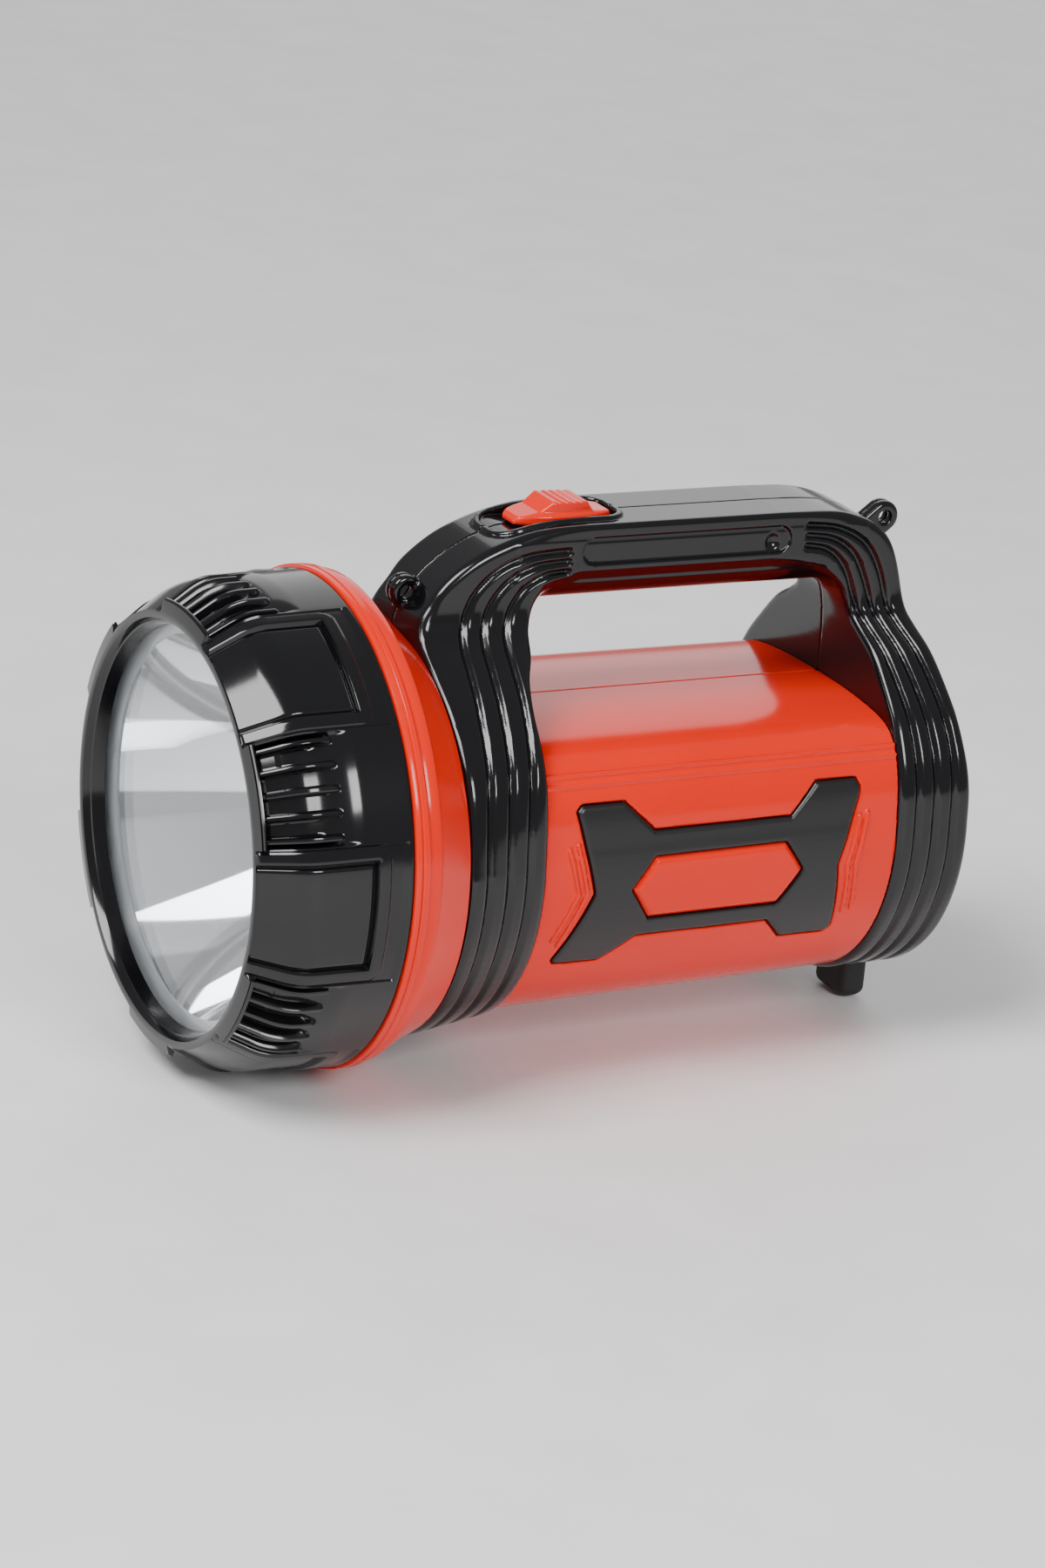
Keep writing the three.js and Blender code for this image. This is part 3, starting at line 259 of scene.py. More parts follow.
@dataclass(frozen=True)
class Workshop:
    """Turns fields and profiles into Blender pieces in the row frame."""

    place: Place
    sharp: float = 32.0

    def mesh(self, name: str, points: Array, faces: Array, normals: Array | None = None) -> bpy.types.Object:
        """Makes a smooth-shaded piece.

        Args:
            name: The piece's name.
            points: Vertices in the head's frame, in millimetres.
            faces: Four vertex numbers a face.
            normals: One normal a vertex, where the exact ones are known.

        Returns:
            The new object, linked to the scene.
        """
        data = bpy.data.meshes.new(name)
        data.vertices.add(len(points))
        data.vertices.foreach_set("co", self.place.row(points).astype(np.float32).ravel())
        data.loops.add(faces.size)
        data.loops.foreach_set("vertex_index", faces.astype(np.int32).ravel())
        data.polygons.add(len(faces))
        data.polygons.foreach_set("loop_start", np.arange(0, faces.size, 4, dtype=np.int32))
        data.update(calc_edges=True)
        data.polygons.foreach_set("use_smooth", np.ones(len(faces), bool))
        if normals is not None:
            data.normals_split_custom_set_from_vertices(normals.astype(np.float32))
        piece = bpy.data.objects.new(name, data)
        bpy.context.scene.collection.objects.link(piece)
        return piece

    def skin(
        self, name: str, field: Field, low: Sequence[float], high: Sequence[float], step: float
    ) -> bpy.types.Object:
        """Makes the surface of a field: one vertex in each crossed cell, moved onto the exact surface.

        Args:
            name: The piece's name.
            field: Negative inside the solid, in millimetres.
            low: Lowest corner of the space to look in.
            high: Highest corner of it.
            step: Cell size in millimetres.

        Returns:
            The new object.
        """
        values = self.sample(field, low, high, step)
        inside = values < 0
        corners = [(i, j, k) for i in (0, 1) for j in (0, 1) for k in (0, 1)]
        shape = tuple(n - 1 for n in values.shape)

        def shifted(grid: Array, corner: tuple[int, int, int]) -> Array:
            """The grid's values at one corner of every cell."""
            return grid[tuple(slice(c, c + n) for c, n in zip(corner, shape))]

        filled = sum(shifted(inside, corner).astype(np.int8) for corner in corners)
        active = (filled > 0) & (filled < 8)
        cells = np.argwhere(active)
        number = np.full(shape, -1)
        number[active] = np.arange(len(cells))
        at = {corner: shifted(values, corner)[active] for corner in corners}
        total = np.zeros((len(cells), 3))
        crossed = np.zeros(len(cells))
        for axis in range(3):
            for corner in corners:
                if corner[axis]:
                    continue
                other = tuple(c + (i == axis) for i, c in enumerate(corner))
                a, b = at[corner], at[other]
                cut = (a < 0) != (b < 0)
                spot = np.tile(np.array(corner, float), (len(cells), 1))
                spot[:, axis] += np.where(cut, a / np.where(a == b, 1, a - b), 0)
                total += spot * cut[:, None]
                crossed += cut
        points = np.array(low) + (cells + total / crossed[:, None]) * step
        normals = self.slope(field, points)
        for _ in range(3):
            gap = field(*points.T)
            size = np.maximum((normals**2).sum(1), 0.2)
            move = np.clip(gap / size, -0.4 * step, 0.4 * step)
            points = points - normals * move[:, None]
            normals = self.slope(field, points)
        faces = []
        for axis in range(3):
            others = [(axis + 1) % 3, (axis + 2) % 3]
            first = [slice(None)] * 3
            second = [slice(None)] * 3
            first[axis], second[axis] = slice(0, -1), slice(1, None)
            changed = inside[tuple(first)] != inside[tuple(second)]
            edges = np.argwhere(changed)
            edges = edges[(edges[:, others] > 0).all(1) & (edges[:, others[0]] < shape[others[0]])
                          & (edges[:, others[1]] < shape[others[1]])]
            ring = []
            for back in ((1, 1), (0, 1), (0, 0), (1, 0)):
                cell = edges.copy()
                cell[:, others[0]] -= back[0]
                cell[:, others[1]] -= back[1]
                ring.append(number[tuple(cell.T)])
            quads = np.stack(ring, 1)
            flip = ~inside[tuple(edges.T)]
            quads[flip] = quads[flip][:, ::-1]
            faces.append(quads)
        length = np.linalg.norm(normals, axis=1, keepdims=True)
        return self.mesh(name, points, np.concatenate(faces), normals / np.maximum(length, 1e-6))

    @staticmethod
    def sample(field: Field, low: Sequence[float], high: Sequence[float], step: float) -> Array:
        """Reads a field on a grid, closely only in the blocks that its surface may pass through.

        Args:
            field: The field to read.
            low: Lowest corner of the grid.
            high: Highest corner of it.
            step: Distance between grid points in millimetres.

        Returns:
            The values at all grid points.
        """
        block = 5
        counts = [int(np.ceil((high[i] - low[i]) / step / block)) for i in range(3)]
        middles = [low[i] + step * (np.arange(counts[i]) * block + (block - 1) / 2) for i in range(3)]
        rough = field(*(grid.ravel() for grid in np.meshgrid(*middles, indexing="ij"))).reshape(counts)
        values = np.repeat(np.repeat(np.repeat(rough, block, 0), block, 1), block, 2)
        near = np.abs(rough) < 1.5 * step * block
        starts = np.argwhere(near) * block
        offsets = np.stack(np.meshgrid(*[np.arange(block)] * 3, indexing="ij"), -1).reshape(-1, 3)
        for part in np.array_split(starts, max(len(starts) // 4000, 1)):
            spots = (part[:, None] + offsets[None]).reshape(-1, 3)
            values[tuple(spots.T)] = field(*(np.array(low) + spots * step).T)
        return values

    @staticmethod
    def slope(field: Field, points: Array, reach: float = 0.3) -> Array:
        """The field's gradient at points.

        Args:
            field: The field to read.
            points: Points, one a row.
            reach: How far to each side it is measured, in millimetres.

        Returns:
            One gradient a row.
        """
        rows = []
        for axis in range(3):
            shift = np.zeros(3)
            shift[axis] = reach
            rows.append((field(*(points + shift).T) - field(*(points - shift).T)) / (2 * reach))
        return np.stack(rows, 1)

    def turned(
        self,
        name: str,
        profile: Sequence[Point],
        segments: int = 256,
        relief: Callable[[Array, Array], Array] | None = None,
        lift: Callable[[Array], Array] | None = None,
        centre: Point = (0.0, 0.0),
    ) -> bpy.types.Object:
        """Turns a closed profile of (radius, y) about an axis parallel to Y.

        Args:
            name: The piece's name.
            profile: The profile's points in order; the last joins the first.
            segments: Steps round the axis.
            relief: What is added to the radius at (angle, row number).
            lift: How far up the centre is at y.
            centre: The axis's own x and z.

        Returns:
            The new object.
        """
        rows = np.array(profile, float)
        after = np.roll(rows, -1, 0)
        if (rows[:, 0] * after[:, 1] - after[:, 0] * rows[:, 1]).sum() > 0:
            rows = rows[::-1]
        angle = np.arange(segments) * 2 * np.pi / segments
        radius = np.tile(rows[:, :1], (1, segments))
        if relief is not None:
            radius = radius + relief(angle[None, :], np.arange(len(rows))[:, None])
        y = np.tile(rows[:, 1:], (1, segments))
        x = centre[0] + radius * np.cos(angle)
        z = centre[1] + radius * np.sin(angle)
        if lift is not None:
            z = z + lift(y)
        points = np.stack([x, y, z], -1).reshape(-1, 3)
        i, j = np.meshgrid(np.arange(len(rows)), np.arange(segments), indexing="ij")
        down, across = (i + 1) % len(rows), (j + 1) % segments
        faces = np.stack([i * segments + j, i * segments + across, down * segments + across,
                          down * segments + j], -1).reshape(-1, 4)
        piece = self.mesh(name, points, faces)
        piece.data.set_sharp_from_angle(angle=np.radians(self.sharp))
        return piece


# ---- Finishes ----


@dataclass(frozen=True)
class Moulding:
    """A moulded plastic, rubber or foam finish with fine grain and handling marks."""

    name: str
    colour: tuple[float, float, float]
    roughness: float = 0.2
    coat: float = 0.0
    grain: float = 0.02
    grain_scale: float = 900.0
    haze: float = 0.06
    tint: float = 0.06
    transmission: float = 0.0
    ior: float = 1.5

    def material(self) -> bpy.types.Material:
        """The finish as a node material; made once for each name.

        Returns:
            The material.
        """
        known = bpy.data.materials.get(self.name)
        if known:
            return known
        material = bpy.data.materials.new(self.name)
        material.use_nodes = True
        nodes, links = material.node_tree.nodes, material.node_tree.links
        shader = nodes["Principled BSDF"]
        shader.inputs["Coat Weight"].default_value = self.coat
        shader.inputs["Coat Roughness"].default_value = 0.04
        shader.inputs["Transmission Weight"].default_value = self.transmission
        shader.inputs["IOR"].default_value = self.ior
        place = nodes.new("ShaderNodeTexCoord")
        broad = nodes.new("ShaderNodeTexNoise")
        broad.inputs["Scale"].default_value = 28.0
        broad.inputs["Detail"].default_value = 4.0
        fine = nodes.new("ShaderNodeTexNoise")
        fine.inputs["Scale"].default_value = self.grain_scale
        fine.inputs["Detail"].default_value = 2.0
        for noise in (broad, fine):
            links.new(place.outputs["Object"], noise.inputs["Vector"])
        shade = nodes.new("ShaderNodeValToRGB")
        dark = [c * (1 - self.tint) for c in self.colour]
        shade.color_ramp.elements[0].position = 0.3
        shade.color_ramp.elements[0].color = (*dark, 1.0)
        shade.color_ramp.elements[1].position = 0.7
        shade.color_ramp.elements[1].color = (*self.colour, 1.0)
        links.new(broad.outputs["Fac"], shade.inputs["Fac"])
        links.new(shade.outputs["Color"], shader.inputs["Base Color"])
        spread = nodes.new("ShaderNodeMapRange")
        spread.inputs["To Min"].default_value = max(self.roughness - self.haze / 2, 0.02)
        spread.inputs["To Max"].default_value = self.roughness + self.haze / 2
        links.new(broad.outputs["Fac"], spread.inputs["Value"])
        links.new(spread.outputs["Result"], shader.inputs["Roughness"])
        bump = nodes.new("ShaderNodeBump")
        bump.inputs["Strength"].default_value = self.grain
        bump.inputs["Distance"].default_value = 0.0002
        links.new(fine.outputs["Fac"], bump.inputs["Height"])
        links.new(bump.outputs["Normal"], shader.inputs["Normal"])
        return material


@dataclass(frozen=True)
class Metal:
    """A bare, plated or metallised finish."""

    name: str
    colour: tuple[float, float, float]
    roughness: float = 0.3
    haze: float = 0.08
    brushing: float = 0.05

    def material(self) -> bpy.types.Material:
        """The finish as a node material; made once for each name.

        Returns:
            The material.
        """
        known = bpy.data.materials.get(self.name)
        if known:
            return known
        material = bpy.data.materials.new(self.name)
        material.use_nodes = True
        nodes, links = material.node_tree.nodes, material.node_tree.links
        shader = nodes["Principled BSDF"]
        shader.inputs["Base Color"].default_value = (*self.colour, 1.0)
        shader.inputs["Metallic"].default_value = 1.0
        place = nodes.new("ShaderNodeTexCoord")
        noise = nodes.new("ShaderNodeTexNoise")
        noise.inputs["Scale"].default_value = 140.0
        noise.inputs["Detail"].default_value = 5.0
        links.new(place.outputs["Object"], noise.inputs["Vector"])
        spread = nodes.new("ShaderNodeMapRange")
        spread.inputs["To Min"].default_value = max(self.roughness - self.haze / 2, 0.01)
        spread.inputs["To Max"].default_value = self.roughness + self.haze / 2
        links.new(noise.outputs["Fac"], spread.inputs["Value"])
        links.new(spread.outputs["Result"], shader.inputs["Roughness"])
        bump = nodes.new("ShaderNodeBump")
        bump.inputs["Strength"].default_value = self.brushing
        bump.inputs["Distance"].default_value = 0.0001
        links.new(noise.outputs["Fac"], bump.inputs["Height"])
        links.new(bump.outputs["Normal"], shader.inputs["Normal"])
        return material


GLOSS_BLACK = Moulding("gloss black ABS", (0.0035, 0.0035, 0.0045), 0.12, 0.0, 0.012)
SATIN_BLACK = Moulding("satin black ABS", (0.006, 0.006, 0.007), 0.34, 0.0, 0.07, 1400.0)
GLOSS_RED = Moulding("gloss orange-red ABS", (0.76, 0.013, 0.0008), 0.14, 0.0, 0.012, ior=1.38)
CLEAR_LENS = Moulding("clear polycarbonate", (0.97, 0.985, 1.0), 0.03, 0.0, 0.004, 300.0, 0.02, 0.01, 1.0)
PALE_SEAL = Moulding("pale silicone", (0.72, 0.74, 0.75), 0.45, 0.0, 0.05)
BLACK_RUBBER = Moulding("black rubber", (0.012, 0.012, 0.012), 0.55, 0.0, 0.15)
GREY_FOAM = Moulding("closed-cell foam", (0.05, 0.05, 0.055), 0.95, 0.0, 0.6, 500.0)
BOARD_GREEN = Moulding("solder mask", (0.012, 0.13, 0.045), 0.35, 0.2, 0.05)
LED_PHOSPHOR = Moulding("phosphor dome", (0.85, 0.66, 0.1), 0.12, 0.5, 0.01)
BATTERY_CASE = Moulding("battery case", (0.07, 0.08, 0.09), 0.5, 0.0, 0.1)
FILM_AMBER = Moulding("dipped film", (0.62, 0.33, 0.02), 0.3, 0.3, 0.04)
GREEN_LIGHT_PIPE = Moulding("green light pipe", (0.03, 0.5, 0.12), 0.12, 0.2, 0.01, 900.0, 0.04, 0.06, 0.4)
CHROME = Metal("metallised reflector", (0.93, 0.94, 0.96), 0.035, 0.02, 0.0)
ZINC = Metal("zinc-plated steel", (0.6, 0.61, 0.63), 0.3)
ALUMINIUM = Metal("bare aluminium", (0.75, 0.75, 0.77), 0.38)


def dress(piece: bpy.types.Object, finish: Moulding | Metal) -> None:
    """Gives a piece one finish all over.

    Args:
        piece: The object to dress.
        finish: Its finish.
    """
    piece.data.materials.clear()
    piece.data.materials.append(finish.material())


def fit(piece: bpy.types.Object, finish: Moulding | Metal, body: Body, slot: str, *nodes: str) -> None:
    """Finishes a made piece, puts it on its body and hides the CAD nodes that it stands for.

    Args:
        piece: The made piece.
        finish: Its finish.
        body: The body that it rides on.
        slot: The record's material slot; not used.
        nodes: The CAD nodes that it replaces.
    """
    dress(piece, finish)
    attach(piece, body.value)
    if nodes:
        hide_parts(*nodes)
    LOG.info("%s: %d faces", piece.name, len(piece.data.polygons))


# ---- Head ----


@dataclass
class Head:
    """Bezel, optics, collar and neck. Sizes are in millimetres."""

    shop: Workshop
    bezel_radius: float = 61.3
    bezel_length: float = 37.4
    kink: float = 26.5
    bezel_taper: float = 0.6
    bezel_segments: int = 1152
    front_radius: float = 53.6
    mouth_radius: float = 51.0
    lens_radius: float = 49.3
    pad_count: int = 6
    pad_turn: float = -2.5
    panel_half_width: float = 17.0
    panel_border: float = 2.5
    panel_corner: float = 3.0
    panel_rear: float = -6.4
    panel_sink: float = 0.9
    frame_groove: float = 0.7
    grip_half_width: float = 13.8
    grip_rear: float = -12.5
    grip_sink: float = 2.7
    rib_rear: float = -18.6
    rib_pitch: float = 5.9
    rib_half_width: float = 1.15
    lip_bar: float = -36.4
    lip_bar_raised: float = 1.9
    lip_bar_half_width: float = 1.2
    between_sink: float = 0.45
    reflector_mouth: float = 50.0
    reflector_hole: float = 9.0
    reflector_focus: float = 10.0
    reflector_front: float = -25.4
    collar_radius: float = 62.0
    band_end: float = 7.3
    neck_end: float = 19.4
    neck_drop: float = 4.0

    def bezel_envelope(self, y: Array) -> Array:
        """The bezel's outside radius, before any relief.

        Args:
            y: Places along the axis.

        Returns:
            Radii in millimetres.
        """
        behind = self.bezel_radius - self.bezel_taper * np.clip(-y / self.kink, 0, 1)
        at_kink = self.bezel_radius - self.bezel_taper
        slope = (at_kink - self.front_radius) / (self.bezel_length - self.kink)
        ahead = at_kink - slope * (-y - self.kink)
        return smooth_min(behind, ahead, 2.4)

    def bezel_relief(self, s: Array, y: Array) -> Array:
        """Panels and ribbed grips, as what they add to the radius.

        Args:
            s: Distance round the bezel from the middle of a panel.
            y: Place along the axis.

        Returns:
            Relief in millimetres, never above the plain surface by more than a rib's crown.
        """
        edge = rounded(np.abs(s) - self.panel_half_width, y - self.panel_rear, self.panel_corner)
        inner = edge + self.panel_border
        groove = self.frame_groove * np.exp(-((inner + 0.9) / 0.55) ** 2)
        panel = -self.panel_sink * ramp(-inner, 0.0, 0.9) - groove
        step = np.pi * 2 * self.bezel_radius / self.pad_count
        g = np.abs(s) - step / 2
        side = np.abs(g) - self.grip_half_width
        depth = self.grip_sink * ramp(-y, -self.grip_rear, 25.0)
        floor = -depth * ramp(-side, -0.1, 0.9)
        ribs = np.full(g.shape, -FAR)
        for i in range(-2, 3):
            across = np.abs(g - i * self.rib_pitch) / self.rib_half_width
            crown = -0.2 - 2.6 * across**4
            tail = np.maximum(y - self.rib_rear, 0.0) / 1.5
            ribs = np.maximum(ribs, crown - 3.0 * tail**2)
        bar = self.lip_bar_raised - 4.0 * (np.abs(y - self.lip_bar) / self.lip_bar_half_width) ** 4
        score = -0.45 * np.exp(-((y - self.lip_bar) / 0.25) ** 2)
        grip = smooth_max(floor, np.where(side < 0, np.maximum(ribs, bar + score), -FAR), 0.35)
        between = -self.between_sink * ramp(edge, 0, 0.6)
        return np.where(side < 0.3, grip, np.where(edge < 0, panel, between)) * ramp(-y, 1.0, 3.0)

    def pad_relief(self, stations: Array, angle: Array, row: Array) -> Array:
        """The pads on the bezel's outside rows; the inside rows stay plain.

        Args:
            stations: The outside rows' places along the axis.
            angle: Angles round the axis.
            row: Row numbers of the profile.

        Returns:
            What is added to the radius.
        """
        turn = np.radians(self.pad_turn)
        step = 2 * np.pi / self.pad_count
        local = (angle - turn + step / 2) % step - step / 2
        y = stations[np.minimum(row, len(stations) - 1)] + 0 * angle
        return np.where(row < len(stations), self.bezel_relief(local * self.bezel_radius, y), 0.0)

    def make_bezel(self) -> None:
        """The black ring: a smooth rear band, six framed panels and six scooped, ribbed grips."""
        stations = np.arange(-0.8, -self.bezel_length + 0.5, -0.33)
        outside = [(float(self.bezel_envelope(np.array([y]))[0]), float(y)) for y in stations]
        inside = [
            (self.front_radius - 0.4, -self.bezel_length + 0.1),
            (self.front_radius - 1.0, -self.bezel_length),
            (self.mouth_radius + 0.9, -self.bezel_length),
            (self.mouth_radius + 0.3, -self.bezel_length + 0.15),
            (self.mouth_radius, -self.bezel_length + 0.6),
            (self.mouth_radius - 0.5, -self.bezel_length + 1.9),
            (self.mouth_radius - 0.9, -self.bezel_length + 2.1),
            (self.lens_radius, -32.1),
            (self.lens_radius + 0.1, -32.0), (54.2, -32.0), (56.0, -29.8), (56.0, -13.3),
            (58.9, -13.3), (58.9, -0.35), (59.2, -0.3),
            (self.bezel_radius - 0.45, -0.3), (self.bezel_radius - 0.1, -0.45),
        ]
        relief = partial(self.pad_relief, np.array([y for _, y in outside]))
        piece = self.shop.turned("bezel", outside + inside, self.bezel_segments, relief)
        fit(piece, GLOSS_BLACK, Body.BEZEL, "black_abs", "bezel_ring")

    def make_optics(self) -> None:
        """The clear lens, the pale seal behind it and the deep smooth reflector."""
        lens = [(0.02, -31.7), (48.0, -31.7), (53.4, -31.6), (53.9, -31.2), (53.9, -29.5), (55.2, -29.1),
                (55.2, -27.1), (0.02, -27.1)]
        fit(self.shop.turned("lens_window", lens), CLEAR_LENS, Body.LENS, "clear_lens", "lens")
        seal = [(47.0, -26.8), (55.0, -26.8), (55.0, -25.75), (47.3, -25.75), (46.9, -26.1), (46.9, -26.6)]
        fit(self.shop.turned("lens_seal", seal), PALE_SEAL, Body.LENS, "gasket_rubber", "lens_gasket")
        front, width = self.reflector_front, 4 * self.reflector_focus
        apex = front + self.reflector_mouth**2 / width
        radii = np.linspace(self.reflector_mouth, self.reflector_hole, 60)
        inside = [(float(r), float(apex - r**2 / width)) for r in radii]
        back = [(float(r) + 1.2, float(apex - r**2 / width) + 0.5) for r in radii[::-6]]
        flange = [(51.2, front + 1.5), (55.2, front + 1.5), (55.2, front)]
        bowl = inside + [(self.reflector_hole, inside[-1][1] + 1.3)] + back + flange
        fit(self.shop.turned("reflector_bowl", bowl), CHROME, Body.TORCH, "chrome_reflector", "reflector")

    def neck_lift(self, y: Array) -> Array:
        """How far the neck's centre sinks from the head's axis to the barrel's."""
        return -self.neck_drop * np.clip((y - self.band_end) / (self.neck_end - self.band_end), 0, 1)

    def make_collar(self) -> None:
        """The red collar with its two grooved bands, and the neck that narrows to the barrel."""
        radius, neck_end = self.collar_radius, self.neck_end
        profile = [
            (58.6, -0.05), (radius - 0.5, -0.05), (radius - 0.15, 0.08), (radius, 0.4),
            (radius, 1.35), (radius - 0.12, 1.5), (radius - 0.45, 1.75), (radius - 0.12, 2.0), (radius, 2.15),
            (radius, 3.2), (radius - 0.25, 3.55), (radius - 0.9, 3.75), (radius - 1.05, 3.95),
            (radius - 0.95, 4.2), (radius - 1.0, 6.6), (radius - 1.25, 7.1), (radius - 2.0, 7.4),
        ]
        start, end = np.array([radius - 2.2, 7.6]), np.array([52.0, neck_end])
        pull = np.array([radius - 5.2, 12.0])
        for t in np.linspace(0, 1, 14):
            spot = (1 - t) ** 2 * start + 2 * t * (1 - t) * pull + t**2 * end
            profile.append((float(spot[0]), float(spot[1])))
        profile += [(43.0, neck_end), (43.0, 29.0), (40.2, 29.0), (40.2, 17.0), (50.0, 6.0), (55.4, 2.6),
                    (55.4, -10.2), (55.6, -13.0), (58.6, -13.0)]
        piece = self.shop.turned("collar_and_neck", profile, lift=self.neck_lift)
        fit(piece, GLOSS_RED, Body.TORCH, "red_abs", "head_housing")


# ---- Barrel ----


@dataclass
class Barrel:
    """The red shells, their black side panels and the red windows in them. Sizes are in millimetres."""

    shop: Workshop
    front: float = 43.0
    rear: float = 142.0
    radius: float = 47.0
    rear_radius: float = 45.2
    centre: float = -5.0
    roof: float = 27.6
    end_overlap: float = 0.6
    seam_gap: float = 0.06
    flank: float = 20.0
    ridges: tuple[Point, ...] = ((42.55, 18.6), (41.2, 20.8))
    ridge_radius: float = 0.5
    recess_gap: float = 0.3
    recess_depth: float = 1.3
    window_inset: float = 0.35
    raised: float = 0.75
    mark_half_width: float = 0.6
    panel_raised: float = 0.55
    panel_depth: float = 1.1
    panel_bevel: float = 1.1
    window_gap: float = 0.25
    box_side: float = 49.0
    shell_step: float = 0.6
    panel_step: float = 0.5

    def __post_init__(self) -> None:
        """Draws the barrel's section and the outlines on its sides."""
        self.section = Outline(self.section_line())
        self.panel = Outline(self.panel_line())
        self.window = Outline([(67.4, -8.2), (73.1, -16.4), (109.8, -16.4), (115.6, -7.6),
                               (110.2, -0.2), (73.1, -0.4)])
        marks = [
            [(51.2, 4.4), (54.5, -8.0), (49.0, -21.8)],
            [(48.9, 3.4), (52.1, -8.0), (47.1, -20.2)],
            [(131.4, 4.6), (128.7, -7.6), (130.5, -21.4)],
            [(133.6, 5.2), (131.1, -7.6), (132.8, -20.6)],
        ]
        self.marks = [Outline(line, closed=False) for line in marks]

    def section_line(self) -> list[Point]:
        """The barrel's section at its front: round below, upright flanks and a crowned roof.

        Returns:
            The section's points in (x, z), both sides.
        """
        angles = np.radians(np.arange(-90, 11, 2.5))
        right = [(self.radius * np.cos(a), self.centre + self.radius * np.sin(a)) for a in angles]
        upper = flowing([right[-1], (45.2, 11.0), (43.2, 17.0), (40.6, 21.2), (36.6, 24.3), (29.0, 26.1),
                         (15.0, 27.3), (0.0, self.roof)], steps=6)[1:]
        return mirrored(right + upper)

    @staticmethod
    def panel_line() -> list[Point]:
        """The bow-tie outline of a side panel.

        Returns:
            Its corners in (y, z).
        """
        return [
            (50.0, -27.8), (62.6, -28.2), (71.0, -21.5), (108.6, -21.5), (114.4, -27.4), (127.6, -27.4),
            (128.9, -26.0), (126.0, -7.6), (131.4, 11.8), (130.0, 14.2), (118.5, 14.2), (111.4, 6.3),
            (72.6, 6.3), (64.0, 13.9), (52.2, 13.9), (51.0, 12.6), (56.9, -8.2), (49.2, -26.6),
        ]

    def taper(self, y: Array) -> Array:
        """The section's scale at y: 1 at the front, less towards the rear."""
        share = (y - self.front) / (self.rear - self.front)
        return 1 + (self.rear_radius / self.radius - 1) * share

    def round_field(self, x: Array, y: Array, z: Array) -> Array:
        """The barrel's outside, without ends.

        Args:
            x: Places across.
            y: Places along.
            z: Places up.

        Returns:
            Distances, negative inside.
        """
        scale = self.taper(y)
        low = self.centre + (z - self.centre) / scale
        return self.section(x / scale, np.where(z > self.centre, z, low)) * scale

    def shell_field(self, side: Side, x: Array, y: Array, z: Array) -> Array:
        """One red half-shell, with the panel's recess, the raised window and the chevrons.

        Args:
            side: The half to describe.
            x: Places across.
            y: Places along.
            z: Places up.

        Returns:
            Distances, negative inside the shell.
        """
        outer = self.round_field(x, y, z)
        scale = self.taper(y)
        for ridge_x, ridge_z in self.ridges:
            ridge = np.hypot(np.abs(x) / scale - ridge_x, z - ridge_z) - self.ridge_radius
            outer = smooth_min(outer, ridge, 0.5)
        across = x * side.value
        window = np.maximum(self.window(y, z), self.flank - across)
        panel = np.maximum(self.panel(y, z) - self.recess_gap, -window)
        recess = np.maximum(panel, self.flank - across)
        shell = smooth_max(outer, -np.maximum(recess, -outer - self.recess_depth), 0.5)
        boss = smooth_max(window + self.window_inset, outer - self.raised, 1.4)
        shell = smooth_min(shell, boss, 0.2)
        for mark in self.marks:
            line = np.maximum(mark(y, z) - self.mark_half_width, self.flank - across)
            shell = smooth_min(shell, smooth_max(line, outer - self.raised, 0.5), 0.3)
        ends = np.maximum(self.front - self.end_overlap - y, y - self.rear - self.end_overlap)
        return smooth_max(np.maximum(shell, ends), self.seam_gap - across, 0.35)

    def panel_field(self, side: Side, x: Array, y: Array, z: Array) -> Array:
        """One satin black side panel with a bevelled edge.

        Args:
            side: The half it lies on.
            x: Places across.
            y: Places along.
            z: Places up.

        Returns:
            Distances, negative inside the panel.
        """
        outer = self.round_field(x, y, z)
        edge = np.maximum(self.panel(y, z), self.window_gap - self.window(y, z))
        top = smooth_max(edge, outer - self.panel_raised, self.panel_bevel)
        return np.maximum(np.maximum(top, -outer - self.panel_depth), self.flank - x * side.value)

    def make(self) -> None:
        """Both shells and both panels."""
        for side in Side:
            wide = sorted((0.0, side.value * self.box_side))
            low, high = (wide[0] - 1, self.front - 3, -54), (wide[1] + 1, self.rear + 3, 30)
            name = f"barrel_{side.word}"
            shell = self.shop.skin(name, partial(self.shell_field, side), low, high, self.shell_step)
            fit(shell, GLOSS_RED, Body.TORCH, "red_abs", f"barrel_shell_{side.word}")
            near = sorted((side.value * 34.0, side.value * self.box_side))
            low, high = (near[0], 47.0, -31.0), (near[1], 134.0, 17.0)
            name = f"panel_{side.word}"
            panel = self.shop.skin(name, partial(self.panel_field, side), low, high, self.panel_step)
            fit(panel, SATIN_BLACK, Body.TORCH, "panel_black", f"side_panel_{side.word}")


# ---- Handle ----


